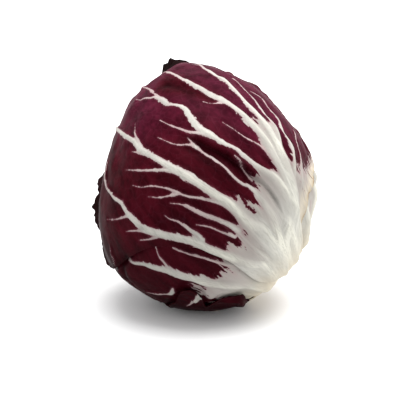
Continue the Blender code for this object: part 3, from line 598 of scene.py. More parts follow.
# %% The ribs of the front leaf and of the lower leaf, as the front view shows them
FRONT_RIBS = (
    (-18, (2.6, 2.3, 2.0, 1.7, 1.5, 1.0, 0.6, 0.3),
     ((30, -37.5), (24, -36.5), (9, -31), (-6, -25), (-13.5, -23.5), (-21, -21.7), (-27.5, -19.5),
      (-33.5, -15.8), (-38, -10.5), (-40.5, -6), (-44.5, -3.5), (-48, 1), (-49.5, 4), (-48.8, 9),
      (-47.5, 14))),
    (-11, (1.6, 1.1, 0.9, 0.6, 0.3, 0.1),
     ((33, -35), (25, -29), (15, -19), (11, -16.5), (4, -13.5), (-3.5, -11), (-10, -7.5),
      (-17, -6.5))),
    (-4, (1.8, 1.4, 1.0, 0.7, 0.5, 0.3, 0.1),
     ((35, -33), (27, -24), (12, -9), (6, -6), (-2, -4), (-9.5, -2.8), (-16.5, 0.2), (-25, 2),
      (-32, 1.5), (-35.5, 2.4))),
    (4, (3.2, 2.8, 2.3, 2.0, 1.7, 1.4, 1.1, 0.9, 0.7),
     ((36.5, -31), (32, -24), (27, -18.5), (22, -16), (17, -10.5), (11, -5.5), (5, -2), (-2, 2.7),
      (-9, 7), (-15.7, 11), (-21, 14), (-26, 17), (-32, 20.4), (-34.6, 23.9), (-39, 26.9),
      (-43, 30.3))),
    (13, (2.2, 2.2, 2.3, 2.4, 2.5, 2.3, 1.7, 0.7, 0.55, 0.45, 0.35, 0.2, 0.1),
     ((38, -29), (34, -14), (24, 0.5), (19, 3.2), (14.5, 7), (11, 11), (6, 15), (0, 18.7),
      (-5.5, 22.5), (-15.5, 23), (-23.4, 26.5))),
    (22, (2.8, 2.7, 2.6, 2.5, 2.5, 2.5, 2.6, 2.7, 2.4, 1.7, 1.0, 0.6, 0.85, 1.1, 1.3, 1.0, 0.5, 0.3,
      0.1),
     ((40, -27), (42.5, -12), (41, -5.5), (37.7, 1.5), (32.9, 7.3), (28.7, 9.9), (23.7, 13.9),
      (18.7, 18.4), (14.5, 21.3), (9.5, 23.4), (3.3, 26.7), (-2.7, 30.7), (-7, 36), (-9.6, 40.2),
      (-13.9, 42.4), (-19, 43.3), (-23.4, 46.7), (-26, 49.3))),
    (29, (1.4, 1.2, 0.9, 0.6, 0.3, 0.1),
     ((42, -25), (43, -8), (36, 12), (30.5, 19.5), (27.4, 22.4), (21.9, 25.6), (17.9, 28.1),
      (13.7, 31.4), (9.1, 34.5))),
    (36, (2.6, 2.4, 2.2, 2.1, 1.9, 1.6, 1.1, 0.8, 0.4),
     ((43, -23), (43.5, -8), (41, 2), (37, 12), (33, 19.5), (29, 25.6), (24.6, 31), (19.8, 35.8),
      (15.4, 39.6), (10.4, 43.6), (5.4, 47), (-0.5, 50.4), (-6, 53), (-10.5, 55.3), (-17.4, 58.7))),
    (43, (2.5, 2.3, 2.1, 2.2, 2.2, 2.1, 1.6, 1.2, 1.0, 0.8, 0.4),
     ((44, -21), (45, -3), (41, 11), (37.1, 19.1), (34.1, 24.4), (31.1, 29.6), (27.7, 34.1),
      (24.4, 38.4), (21.6, 41.9), (18.6, 45.1), (14.5, 48.7), (11, 52.4), (6, 56.4), (1.5, 60.3),
      (-2.7, 63))),
    (48, (1.5, 1.4, 1.3, 1.2, 1.1, 0.8, 0.5, 0.25),
     ((45, -19), (44, 0), (38.2, 14), (37, 21), (35.8, 27), (34.2, 31), (31.9, 34.5), (29.4, 38.9),
      (26.2, 42.9), (22.9, 47.5), (18.7, 52), (14.4, 56.4))),
    (54, (1.4, 1.3, 1.2, 1.1, 1.0, 0.8, 0.45, 0.15),
     ((46, -17), (45, 3), (43.9, 12.9), (42.9, 20.4), (40.4, 25.4), (37.9, 31.4), (36.2, 35.4),
      (31.9, 41.4), (27.9, 46.4), (22.9, 50))),
    (60, (1.3, 1.2, 1.0, 0.8, 0.5, 0.3),
     ((47, -14), (48, 3), (47.9, 12.9), (47.4, 18.9), (46.4, 22.9), (45.6, 26.9), (44.1, 30.4))),
    (67, (1.4, 1.3, 1.1, 0.9, 0.6, 0.3),
     ((50, -12), (53, 0), (53.9, 7.9), (53.4, 14.4), (51.9, 19.9), (49.9, 24.9), (47.6, 29))),
)
FRONT_BRANCHES = (
    (0.9, (-1, -24), (-3.6, -21.4), (-7.9, -19.1), (-13, -15.7), (-17.4, -14.4), (-20, -12.7)),
    (0.8, (-26, -20.7), (-32, -20), (-39, -20.5)),
    (0.6, (-36, -13), (-38, -12.7), (-44, -14.4), (-48.4, -14.4)),
    (0.6, (-22, -22.5), (-27.7, -24.3), (-32.8, -25.1)),
    (1.0, (-6, 5.5), (-8.7, 7.1), (-12, 8.8), (-19, 9.7), (-29.4, 9.7), (-39.3, 10.1)),
    (0.8, (-31, 19.5), (-32, 22.4), (-34.4, 28.2), (-34.6, 33.4)),
    (0.5, (-29, 18.5), (-32, 18.6), (-36.3, 19.2)),
    (0.7, (3.4, 26.4), (-1, 27.4), (-7.1, 29), (-15.5, 32), (-22.3, 35)),
    (0.6, (-4, 21.5), (-8.5, 26.5)),
    (0.5, (25, 5.5), (22, 9.3), (20.4, 11.5), (18, 15), (15.2, 17.4)),
    (0.8, (17, -20), (11, -16.6), (-1, -11.5), (-9, -7.5)),
    (0.7, (-19, 43.5), (-24.2, 46), (-27.7, 45.4), (-34, 44.5)),
    (0.6, (15, -23), (8, -20.5), (2, -18), (-4, -17)),
    (0.4, (-14, -2), (-22, -3.6), (-28, -3.2)),
    (0.35, (8, 43.5), (4, 43.8), (-0.6, 44.9)),
    (0.5, (-43.3, -35.4), (-44.4, -33.2), (-45.8, -31.2), (-46.4, -28.6)),
)
front_ribs = [drawn_rib(*rib) for rib in FRONT_RIBS]
front_ribs += [branch(*rib) for rib in FRONT_BRANCHES]
CARRIED_ON = ((3, 0.6), (5, 0.3), (7, 0.3), (8, 0.3))
for number, half in CARRIED_ON:
    front_ribs += carried_on(front_ribs[number], half, number)
lower_ribs = [
    drawn_rib(-28, (2.8, 2.8, 3.0, 3.1, 2.9, 2.3, 1.7, 1.0, 0.4),
              ((34, -47), (26.6, -48.2), (20.5, -47.8), (12.9, -47), (2.9, -45.6), (-5.6, -43.4),
               (-11.3, -41.9), (-17.1, -40.4), (-23.8, -38.5), (-31.3, -36.6), (-38.8, -35))),
    drawn_rib(-16, (1.6, 1.4, 1.0, 0.7, 0.4, 0.2),
              ((30, -44), (18, -38.6), (10, -36.8), (4.6, -35.5), (-2.1, -33.6), (-8.8, -32.1),
               (-16.3, -29.6))),
    branch(0.9, (-14, -41.5), (-16, -40), (-18.1, -38.1), (-20.6, -35.6), (-23.1, -33.1),
           (-25.1, -29.1)),
    Rib(drawn((-15.6, -48.4), (-16, -50.8), (-17.8, -51.9), (-23, -51.5), (-28.8, -50.2)),
        (0.4, 1.0, 1.0, 0.45, 0.35, 0.3, 0.25, 0.1)),
]
torn_ribs = [branch(1.5, (-1.6, -51), (-4, -53.8), (-8.7, -57.6))]
print("drawn ribs", len(front_ribs), len(lower_ribs), len(torn_ribs))

# %% Fans of ribs where the front view can't show them
torn_tips = ((-140, -160, 0.9), (-122, -146, 0.95), (-104, -112, 0.95), (-82, -58, 0.9))
right_tips = ((48, 42, 0.95), (64, 62, 0.9), (78, 76, 1.0), (92, 96, 0.94), (106, 114, 1.0),
              (120, 134, 0.94), (136, 156, 1.0), (150, 176, 0.94))
lower_tips = ((-110, -122, 0.9), (-94, -106, 0.95), (-78, -90, 0.95), (-64, -74, 0.9))
back_tips = ((134, 118, 0.94), (150, 140, 0.9), (164, 160, 1.0), (180, 180, 0.94),
             (194, 198, 1.0), (210, 216, 0.94), (226, 236, 0.94))


def unseen(ribs):
    """Only the ribs that the front view can't show."""
    return [rib for rib in ribs if (rib.line @ TOWARD).max() < 0.0]


leaf_ribs = {
    "torn_leaf": unseen(fan(torn, torn_tips, 2.8, 3)) + torn_ribs,
    "front_leaf": front_ribs,
    "right_leaf": fan(right, right_tips, 3.6, 5),
    "lower_leaf": unseen(fan(lower, lower_tips, 3.0, 4)) + lower_ribs,
    "back_leaf": fan(back, back_tips, 3.6, 8),
}
MAIN_RIBS = {"front_leaf": front_ribs[:len(FRONT_RIBS)], "lower_leaf": lower_ribs[:2]}
print("ribs", {name: len(ribs) for name, ribs in leaf_ribs.items()})

# %% [markdown]
# ## The rib field
# For any direction we want to know how far it is from the nearest rib's edge, how far along that
# rib, how wide the rib is there, and how high its ridge and the soft swell round it are. Ribs that
# run close together have flesh between them, so the distances are blended: minus the logarithm of
# a sum of falling exponentials acts as a minimum that gives way where two are nearly equal.

# %% Distance to the ribs' edges, place along them, width and height
WEB_BLEND = 0.8 * MM
RIDGE_HEIGHT = 1.9 * MM
RIDGE_FULL_HALF = 2.3 * MM
SWELL_HEIGHT = 0.7 * MM
SWELL_HALF = 4.5 * MM
SWELLS_FROM = (0.4 * MM, 2.0 * MM)
NEXT_RIB = 0.137


def rib_field(d, ribs):
    """Blended distance outside the ribs, place along the nearest, its half width, ridge, swell."""
    falling, along, half_there, ridges, swell = np.zeros((5, len(d)))
    nearest = np.full(len(d), 1e9)
    for number, rib in enumerate(ribs):
        gap, way = distance_to_line(d, rib.line)
        half = rib.half(way)
        outside = gap - half
        falling += np.exp(np.clip(-outside / WEB_BLEND, -60, 40))
        closer = outside < nearest
        nearest = np.where(closer, outside, nearest)
        along = np.where(closer, way + NEXT_RIB * number, along)
        half_there = np.where(closer, half, half_there)
        core = np.minimum(half, RIDGE_FULL_HALF)
        height = RIDGE_HEIGHT * (core / RIDGE_FULL_HALF) ** 0.8
        profile = height * np.exp(-((gap / (0.95 * core + 0.45 * MM)) ** 2.4))
        ridges += profile**4
        strength = SWELL_HEIGHT * smooth_step(*SWELLS_FROM, half)
        swell = np.maximum(swell, strength * np.exp(-((gap / SWELL_HALF) ** 2)))
    blended = -WEB_BLEND * np.log(falling + 1e-30)
    return blended, along, half_there, ridges**0.25, swell


# %% [markdown]
# ## The pale base
# Towards the stem the whole leaf is white. The wine red ends in tongues between the ribs, and the
# ends that the front view shows are drawn, and so are three loose flecks of red. Elsewhere the
# border waves round the stem.

# %% Where the wine red ends, as an angle from the stem's axis
TONGUES = {
    "front_leaf": drawn(
        (-8.6, -27.4), (15.8, -25.6), (16.9, -17.8), (5.7, -4.7), (11.5, 0.5), (19.5, -3),
        (27.5, -7), (24.5, 3.4), (23.7, 10), (34.8, 10.9), (28, 22.7), (21.8, 38.3), (30.6, 35.4),
        (41, 17.9), (45.2, 17.6), (51.2, 15.2)),
    "lower_leaf": drawn((3.4, -33.4), (7.9, -40.1), (-5.5, -46.8)),
}
FLECKS = (
    np.array(drawn((12, -0.3), (16.0, -4.8))),
    np.array(drawn((18.9, -4), (21.0, -7.8))),
    np.array(drawn((22.3, -8.4), (24.6, -11))),
)
FLECK_HALF = 0.8 * MM
BASE_REACH = {"torn_leaf": 26.0}
USUAL_REACH = 50.0
BASE_WAVE = 7.0
PAST_TURN = 8 * DEG
RIGHT_LEAF_BAY = 45 * DEG
GRAIN_ACROSS = 45.0
GRAIN_AWAY = 8.0


def stem_polar(d):
    """Azimuth round the stem, 0 to the front, and angle from the stem's axis, in radians."""
    return np.arctan2(d @ STEM_SIDE, d @ STEM_FRONT), from_stem(d)


def gap_number(d, ribs):
    """Which gap a direction is in: 2.5 is halfway from main rib 2 to main rib 3.

    Each rib's azimuth is read at the direction's own angle from the stem.
    """
    turn, angle = stem_polar(d)
    turns = []
    for rib in ribs:
        rib_turn, rib_angle = stem_polar(rib.line)
        turns.append(np.interp(angle, np.maximum.accumulate(rib_angle), rib_turn))
    number = (turn - turns[0]) / PAST_TURN
    for i, (low, high) in enumerate(zip(turns[:-1], turns[1:])):
        share = (turn - low) / np.maximum(high - low, 0.01)
        number = np.where(turn > low, i + np.clip(share, 0, 1), number)
    past = (turn - turns[-1]) / PAST_TURN
    return np.where(past > 0, len(ribs) - 1 + past, number)


def tongue_ends(name):
    """The gap numbers of the drawn ends of the wine red, and their angles, in order."""
    ends = np.array(TONGUES[name])
    number = gap_number(ends, MAIN_RIBS[name])
    order = np.argsort(number)
    return number[order], stem_polar(ends)[1][order]


drawn_ends = {name: tongue_ends(name) for name in TONGUES}
print("gaps with a drawn end", {name: v[0].round(1).tolist() for name, v in drawn_ends.items()})


def base_limit(name, d):
    """How far from the stem the pale base reaches on the way to each direction, in radians."""
    turn, _ = stem_polar(d)
    wave = np.sin(3 * turn + 1) + 0.7 * np.sin(7 * turn + 2) + 0.6 * np.sin(13 * turn)
    reach = np.radians(BASE_REACH.get(name, USUAL_REACH) + BASE_WAVE * wave)
    if name == "right_leaf":
        reach = reach + RIGHT_LEAF_BAY * np.exp(-((turn - 30 * DEG) ** 2) / 0.3)
    if name in TONGUES:
        number = gap_number(d, MAIN_RIBS[name])
        last = len(MAIN_RIBS[name]) - 1
        inside = smooth_step(-3.0, -1.5, number) * (1 - smooth_step(last + 3, last + 4.5, number))
        reach = reach * (1 - inside) + np.interp(number, *drawn_ends[name]) * inside
    return reach


def base_edge(d, name):
    """Distance in metres outside the pale base, measured along the way from the stem."""
    return (stem_polar(d)[1] - base_limit(name, d)) * HEAD_RADIUS


def inside_flecks(d, name):
    """Distance in metres inside the loose flecks of red that the front leaf has in its white."""
    if name != "front_leaf":
        return np.full(len(d), -HEAD_RADIUS)
    return FLECK_HALF - np.min([distance_to_line(d, line)[0] for line in FLECKS], axis=0)


def grain(d):
    """Coordinates in millimetres that change fast round the stem and slowly away from it."""
    turn, angle = stem_polar(d)
    across = GRAIN_ACROSS * np.where(angle > math.pi / 2, np.sin(angle), 1.0)
    return np.stack([across * np.cos(turn), across * np.sin(turn), GRAIN_AWAY * angle], 1)


# %% [markdown]
# ## From a leaf to a mesh
# The outer face is a grid of turns and reaches, closed by one point in the middle. The inner face
# uses the same turns with fewer rings, because it is hardly seen, and a last ring of faces joins
# them at the thin edge. Distances are stored as attributes, which the leaf's material reads.

# %% Rings of points to faces
def polar_grid(shares, sectors):
    """A share and a turn for each point: one point in the middle, then ring after ring."""
    turn = 2 * math.pi * np.arange(sectors) / sectors
    return np.append(0.0, np.repeat(shares, sectors)), np.append(0.0, np.tile(turn, len(shares)))


def ring_faces(first, rings, sectors):
    """Four-sided faces between rings of points, each ring closed on itself."""
    ring = first + np.arange(rings - 1)[:, None] * sectors
    here = np.arange(sectors)[None, :]
    after = (here + 1) % sectors
    a, b = ring + here, ring + after
    return np.stack([a, a + sectors, b + sectors, b], -1).reshape(-1, 4)


def cap_faces(pole, first, sectors):
    """Triangles from one point to the ring of points that starts at first."""
    here = np.arange(sectors)
    return np.stack([pole + 0 * here, first + here, first + (here + 1) % sectors], -1)


def make_mesh(name, points, quads, triangles, attributes):
    """A smooth-shaded mesh object with float attributes on its points."""
    mesh = bpy.data.meshes.new(name)
    corners = np.concatenate([quads.ravel(), triangles.ravel()]).astype(np.int32)
    sizes = np.concatenate([np.full(len(quads), 4), np.full(len(triangles), 3)])
    starts = np.append(0, np.cumsum(sizes)[:-1]).astype(np.int32)
    mesh.vertices.add(len(points))
    mesh.vertices.foreach_set("co", points.astype(np.float32).ravel())
    mesh.loops.add(len(corners))
    mesh.loops.foreach_set("vertex_index", corners)
    mesh.polygons.add(len(sizes))
    mesh.polygons.foreach_set("loop_start", starts)
    mesh.update(calc_edges=True)
    mesh.validate()
    mesh.shade_smooth()
    for key, values in attributes.items():
        flat = values.ndim == 1
        layer = mesh.attributes.new(key, "FLOAT" if flat else "FLOAT_VECTOR", "POINT")
        layer.data.foreach_set("value" if flat else "vector", values.astype(np.float32).ravel())
    made = bpy.data.objects.new(name, mesh)
    bpy.context.scene.collection.objects.link(made)
    print(name, len(points), "points,", len(quads) * 2 + len(triangles), "triangles")
    return made


# %% [markdown]
# ## Painted light and shade
# The head's colour is painted lighter on top than below, varied from left to right, and darker
# inside
# the pleat, the creases and by the crest: painted light and shade, so the finish reads two tones,
# one for the pale parts and one for the red. Each table holds places along the view's up or right,
# from -1 to 1, and the painted lightness at each.

# %% Painted light and shade of the pale parts and of the red
# painted light and shade of the pale parts: lightness by height, a painted shade in a low band, and
# painted shade in the pleat
PALE_UP = ((-0.9, -0.4, 0.2, 0.5, 0.8), (0.80, 0.88, 1.03, 1.17, 1.22))
PALE_LOW_BAND = 0.18
PALE_FOLD_SHADE = 1.2
PALE_FOLD_MOST = 0.5
PALE_FOLD_REACH = 2.6 * MM
# painted light and shade of the red by height and by side; painted shade by the crest, in the pleat
# and in the creases
WINE_UP = ((-0.75, -0.5, -0.34, 0.1, 0.27, 0.44, 0.71, 1.0),
           (0.24, 0.28, 0.42, 0.45, 0.53, 0.66, 0.90, 1.08))
WINE_RIGHT = ((-0.9, -0.56, -0.3, 0.0, 0.23, 0.5), (1.0, 1.12, 0.95, 0.93, 1.02, 1.2))
CREST_SHADE = 0.4
CREST_MIDDLE = seen(-17, 53)
CREST_REACH = 9 * MM
FOLD_SHADE = 0.62
CREASE_SHADE = 0.5


def pale_light_and_shade(d):
    """Painted light and shade on the pale parts: lighter on top and right, darker low and in the
    pleat.
    """
    up, right = d @ UP, d @ RIGHT
    angle = np.degrees(from_stem(d))
    # painted light: the pale parts are lighter towards the right and darker on the left
    side = 0.86 + 0.14 * smooth_step(-0.9, 0.5, right)
    # lighter towards the stem
    foot = 0.20 * smooth_step(66, 50, angle) + 0.45 * smooth_step(30, 14, angle)
    # painted shade in a low band across the head, about a right angle from the stem
    low_band = np.exp(-(((angle - 88) / 20) ** 2)) * smooth_step(0.35, 0.1, up)
    low_band = low_band * smooth_step(0.75, 0.45, right)
    # painted shade in the pleat, stronger towards the right
    shade = np.minimum(PALE_FOLD_SHADE * fold_share(d, PALE_FOLD_REACH), PALE_FOLD_MOST)
    shade = shade * (0.3 + 0.7 * smooth_step(0.46, 0.60, right))
    return np.interp(up, *PALE_UP) * side * (1 + foot) * (1 - PALE_LOW_BAND * low_band) * (1 - shade)


def wine_light_and_shade(d):
    """Painted light and shade on the red: lighter on top, dark low down, shaded in pleat, creases
    and by the crest.
    """
    # painted shade round the crest, and in the pleat and the creases
    crest = CREST_SHADE * spot(d, CREST_MIDDLE, CREST_REACH)
    shade = (1 - FOLD_SHADE * fold_share(d)) * (1 - CREASE_SHADE * crease_share(d))
    # painted light: lighter on top and varied from left to right
    return np.interp(d @ UP, *WINE_UP) * np.interp(d @ RIGHT, *WINE_RIGHT) * shade * (1 - crest)


print("tones at the front", pale_light_and_shade(TOWARD[None]).round(2), wine_light_and_shade(TOWARD[None]).round(2))

# %% [markdown]
# ## The fine shape of a leaf's face
# Ridges, furrows and puckers lie on the leaf's radius, and its edge has nicks, a frill and, where
# it is dry and black, crumples. All of it fades out under the edge of another leaf.

# %% The outer face
PLEAT_HEIGHT = 0.65 * MM
PLEAT_SIZE = 7.0
FURROW_HEIGHT = 1.15 * MM
FURROW_SIZE = 3.4
PUCKERS = ((0.42 * MM, 9 * MM, 21), (0.13 * MM, 3.5 * MM, 22))
NICK_SIZE = 2.6 * MM
FRILL_SIZE = 2.4 * MM
FRILL_REACH = 2.2 * MM
CRUMPLE_HEIGHT = 0.6 * MM
CRUMPLE_SIZE = 1.9 * MM
CRUMPLE_REACH = 5.0 * MM


def nicked_margin(leaf, alpha):
    """The leaf's outline with small nicks where its edge is ruffled."""
    circle = np.stack([np.cos(alpha), np.sin(alpha), 0 * alpha], -1) * HEAD_RADIUS
    ruffle = leaf.at_turn(leaf.ruffle, alpha)
    nicks = soft_noise(circle, NICK_SIZE, 11) + 0.6 * soft_noise(circle, NICK_SIZE / 2, 12)
    size = np.minimum(0.1 * MM + 0.35 * ruffle, 1.1 * MM)
    return leaf.margin_rho(alpha) + size * nicks / HEAD_RADIUS


def on_leaf(leaf, alpha, share):
    """The direction at a turn and a share of the reach, and how far inside the margin it is."""
    rho = share * nicked_margin(leaf, alpha)
    inset = np.clip(leaf.margin_rho(alpha) - rho, 0, None) * HEAD_RADIUS
    return leaf.direction(alpha, rho), inset


def leaf_facts(leaf, d, alpha, inset, bare, field):
    """The attributes that the finish reads, distances in millimetres."""
    edge, along, half, ridge, _ = field
    return {
        "rib_edge": edge / MM, "rib_way": along / MM, "rib_half": half / MM, "inset": inset / MM,
        "crown": ridge / RIDGE_HEIGHT, "base_edge": base_edge(d, leaf.name) / MM,
        "grain": grain(d), "furrow": soft_noise(grain(d), FURROW_SIZE, 26),
        "fleck": inside_flecks(d, leaf.name) / MM,
        "near_stem": smooth_step(54.0, 14.0, np.degrees(from_stem(d))),
        "brown": leaf.at_turn(leaf.brown, alpha) * bare,
        "black": leaf.at_turn(leaf.black, alpha) * bare,
        # painted light and shade for the pale parts and for the red
        "pale_light_and_shade": pale_light_and_shade(d), "wine_light_and_shade": wine_light_and_shade(d),
    }


def tucked(leaf, d):
    """1 in the open, falling to 0 over the first millimetres under another leaf's edge."""
    open_air = np.ones(len(d))
    for other in leaf.outer:
        alpha, rho = other.polar(d)
        under = (other.margin_rho(alpha) - rho) * HEAD_RADIUS
        open_air = np.minimum(open_air, 1 - smooth_step(-3 * MM, 1.5 * MM, under))
    return open_air


def pucker_height(d):
    """Two sizes of soft puckers, and pleats along the grain."""
    height = sum(size * soft_noise(d * HEAD_RADIUS, width, seed) for size, width, seed in PUCKERS)
    return height + PLEAT_HEIGHT * soft_noise(grain(d), PLEAT_SIZE, 24)


def edge_height(leaf, d, alpha, inset):
    """The frill of a ruffled edge, and the crumples of a dry black one."""
    frill = leaf.at_turn(leaf.ruffle, alpha) * 0.5 * np.exp(-inset / FRILL_REACH)
    frill = frill * (soft_noise(d * HEAD_RADIUS, FRILL_SIZE, 23) + 0.5)
    crumple = leaf.at_turn(leaf.black, alpha) * np.exp(-((inset / CRUMPLE_REACH) ** 2))
    return frill + crumple * CRUMPLE_HEIGHT * soft_noise(d * HEAD_RADIUS, CRUMPLE_SIZE, 25)


def outer_face(leaf, alpha, share):
    """Direction, radius and facts at each turn and share: the leaf's radius plus its heights."""
    d, inset = on_leaf(leaf, alpha, share)
    field = rib_field(d, leaf_ribs[leaf.name])
    bare = 1 - smooth_step(0.0, 0.5 * LEAF_PITCH, leaf.depth(d))
    white = 1 - smooth_step(-1 * MM, 2 * MM, np.minimum(field[0], base_edge(d, leaf.name)))
    furrow = FURROW_HEIGHT * soft_noise(grain(d), FURROW_SIZE, 26) * white
    rise = field[3] + field[4] + furrow + pucker_height(d) * (1 - 0.5 * white)
    rise = rise * at_foot(d, 0.3) * tucked(leaf, d) + bare * edge_height(leaf, d, alpha, inset)
    rise = rise * smooth_step(-0.2 * MM, 3 * MM, inset + 2 * MM * bare)
    radius = np.minimum(leaf.radius(d) + rise, floor_radius(d))
    return d, radius, leaf_facts(leaf, d, alpha, inset, bare, field)


# %% The whole leaf
INNER_RINGS = 16
UNDER_FOLD_REACH = 1.3 * FOLD_REACH
UNDER_FOLD_LESS = 0.8


def inner_face(leaf, alpha, share, edge_radius):
    """The same for the inner face, which follows the pleat and meets the outer face's edge."""
    d, inset = on_leaf(leaf, alpha, share)
    sink = fold_share(d, UNDER_FOLD_REACH, False) - UNDER_FOLD_LESS * fold_share(d)
    radius = leaf.radius(d) - FOLD_DEPTH * np.clip(sink, 0, None)
    radius[-len(edge_radius):] = edge_radius
    thick = EDGE_THICKNESS + (BLADE_THICKNESS - EDGE_THICKNESS) * smooth_step(1.0, 0.9, share)
    field = rib_field(d, leaf_ribs[leaf.name])
    return d, radius - thick, leaf_facts(leaf, d, alpha, inset, np.ones(len(d)), field)


def leaf_piece(leaf, rings, sectors):
    """The whole leaf: outer face, thin edge and inner face, as one closed mesh."""
    share, alpha = polar_grid(np.linspace(0, 1, rings + 1)[1:], sectors)
    d_out, radius_out, facts_out = outer_face(leaf, alpha, share)
    share, alpha = polar_grid(np.linspace(0, 1, INNER_RINGS + 1)[1:], sectors)
    d_in, radius_in, facts_in = inner_face(leaf, alpha, share, radius_out[-sectors:])
    points = [CENTRE + d_out * radius_out[:, None], CENTRE + d_in * radius_in[:, None]]
    count = len(d_out)
    here = np.arange(sectors)
    after = (here + 1) % sectors
    rim_out = 1 + (rings - 1) * sectors
    rim_in = count + 1 + (INNER_RINGS - 1) * sectors
    quads = np.concatenate([
        ring_faces(1, rings, sectors),
        ring_faces(count + 1, INNER_RINGS, sectors)[:, ::-1],
        np.stack([rim_out + here, rim_in + here, rim_in + after, rim_out + after], -1),
    ])
    inner_cap = cap_faces(count, count + 1, sectors)[:, [0, 2, 1]]
    triangles = np.concatenate([cap_faces(0, 1, sectors), inner_cap])
    attributes = {key: np.concatenate([facts_out[key], facts_in[key]]) for key in facts_out}
    return make_mesh(leaf.name, np.concatenate(points), quads, triangles, attributes)


print("the inner faces have", INNER_RINGS, "rings")

# %% [markdown]
# ## Shader maths as Python expressions
# A material is a graph of nodes. Written node by node it is hard to read, so a small class wraps
# one output, and adding or multiplying two of them adds the Math node that does it.

# %% The wire and the finish
def operator(operation, swapped=False):
    """A Python operator that adds the Math node for it."""
    def apply(self, other):
        pair = (other, self) if swapped else (self, other)
        return self.finish.maths(operation, *pair)
    return apply


class Wire:
    """One output of a node, with the operators that are used on it."""

    def __init__(self, finish, socket):
        self.finish = finish
        self.socket = socket

    __add__ = operator("ADD")
    __mul__ = operator("MULTIPLY")
    __sub__ = operator("SUBTRACT")
    __rsub__ = operator("SUBTRACT", swapped=True)
    __truediv__ = operator("DIVIDE")

    def clamp(self):
        """Held between 0 and 1."""
        return self.finish.maths("ADD", self, 0.0, clamp=True)

    def step(self, low, high):
        """0 below low, 1 above high, smooth between; low may be the larger."""
        return self.finish.node(
            "ShaderNodeMapRange", {"interpolation_type": "SMOOTHSTEP"},
            {"Value": self, "From Min": low, "From Max": high},
        )


class Finish:
    """A material's node tree round one Principled shader."""

    def __init__(self, name, roughness, index=1.4):
        self.material = bpy.data.materials.new(name)
        self.material.use_nodes = True
        self.tree = self.material.node_tree
        self.shader = self.tree.nodes["Principled BSDF"]
        self.shader.inputs["Roughness"].default_value = roughness
        self.shader.inputs["IOR"].default_value = index
        self.known = {}

    def node(self, kind, settings, inputs, output=0):
        """Adds a node, its settings first, then a value or a link for each named socket."""
        made = self.tree.nodes.new(kind)
        for key, value in settings.items():
            setattr(made, key, value)
        for key, value in inputs.items():
            if isinstance(value, Wire):
                self.tree.links.new(value.socket, made.inputs[key])
            else:
                made.inputs[key].default_value = value
        return Wire(self, made.outputs[output])

    def maths(self, operation, *values, clamp=False):
        """A Math node with its values in order."""
        settings = {"operation": operation, "use_clamp": clamp}
        return self.node("ShaderNodeMath", settings, dict(enumerate(values)))

    def attribute(self, name, output="Fac"):
        """The mesh's attribute of that name, whose node is made once."""
        if name not in self.known:
            settings = {"attribute_name": name}
            self.known[name] = self.node("ShaderNodeAttribute", settings, {}, output)
        return self.known[name]

    def place(self):
        """The point's own coordinates in metres."""
        return self.node("ShaderNodeTexCoord", {}, {}, "Object")

    def vector(self, x, y, z):
        return self.node("ShaderNodeCombineXYZ", {}, {0: x, 1: y, 2: z})

    def noise(self, vector, scale, detail=2.0, roughness=0.5):
        """Clouds from 0 to 1, finer with a larger scale and rougher with more detail."""
        inputs = {"Vector": vector, "Scale": scale, "Detail": detail, "Roughness": roughness}
        return self.node("ShaderNodeTexNoise", {}, inputs)

    def cells(self, vector, scale):
        """Distance to the nearest border between scattered cells."""
        return self.node(
            "ShaderNodeTexVoronoi", {"feature": "DISTANCE_TO_EDGE"},
            {"Vector": vector, "Scale": scale}, "Distance",
        )

    def mix(self, factor, one, two):
        """A colour between one and two."""
        one, two = (c if isinstance(c, Wire) else (*c, 1.0) for c in (one, two))
        inputs = {"Factor": factor, 6: one, 7: two}
        return self.node("ShaderNodeMix", {"data_type": "RGBA"}, inputs, 2)

    def layered(self, colour, *layers):
        """A colour with others laid over it in turn, each with its share."""
        for share, over in layers:
            colour = self.mix(share, colour, over)
        return colour

    def scaled(self, colour, share):
        """A colour made lighter or darker by a share that may be above 1."""
        inputs = {0: colour, "Scale": share}
        return self.node("ShaderNodeVectorMath", {"operation": "SCALE"}, inputs)

    def bump(self, height, distance, strength=1.0):
        """Bends the shader's normal as if the surface had that height."""
        inputs = {"Height": height, "Distance": distance, "Strength": strength}
        self.link(self.node("ShaderNodeBump", {}, inputs, "Normal"), "Normal")

    def link(self, wire, socket):
        """Feeds one input of the shader."""
        self.tree.links.new(wire.socket, self.shader.inputs[socket])


print("operators on a wire", [name for name in vars(Wire) if name.startswith("__")][1:])

# %% [markdown]
# ## The leaf's finish
# The blade is deep wine red with a dull waxy gloss. It is puffed a little between fine veins,
# which show paler. The ribs are cream white with faint grey streaks along them. Distances in the
# leaf's attributes say on which side of the border a point lies. Noise moves that border: small
# teeth beside the ribs, and long torn tongues and a few islands where the white base ends.

# %% Colours of the leaf
# the reds come in pairs: the plain red, and the same red with a painted bluish sheen, used where the
# painted light is high
DEEP_LOW = (0.024, 0.0008, 0.0026)
DEEP_WITH_SHEEN = (0.024, 0.0016, 0.0056)
BRIGHT_LOW = (0.092, 0.0050, 0.0130)
BRIGHT_WITH_SHEEN = (0.092, 0.0100, 0.0275)
VEIN_PINK = (0.18, 0.045, 0.075)
CREAM = (0.55, 0.54, 0.472)
RIB_CREAM = (0.49, 0.474, 0.422)
# a grey for painted shade in valleys and furrows, also used for grey mottling; then a rosy painted
# shade for valleys near the red
SHADE_AND_MOTTLE_GREY = (0.38, 0.372, 0.345)
ROSY_VALLEY_SHADE = (0.26, 0.222, 0.205)
STREAK_GREY = (0.29, 0.285, 0.255)
IVORY = (0.52, 0.465, 0.365)
EDGE_TAN = (0.32, 0.265, 0.18)
BLUSH = (0.27, 0.085, 0.12)
DRY_BROWN = (0.27, 0.185, 0.11)
DRY_BLACK = (0.008, 0.003, 0.003)
LEAF_IOR = 1.065
BORDER_SOFT = 0.14
BORDER_BLEND = 1.8
ISLANDS_ABOVE = 0.60
VEIN_SHAKE = 0.0022


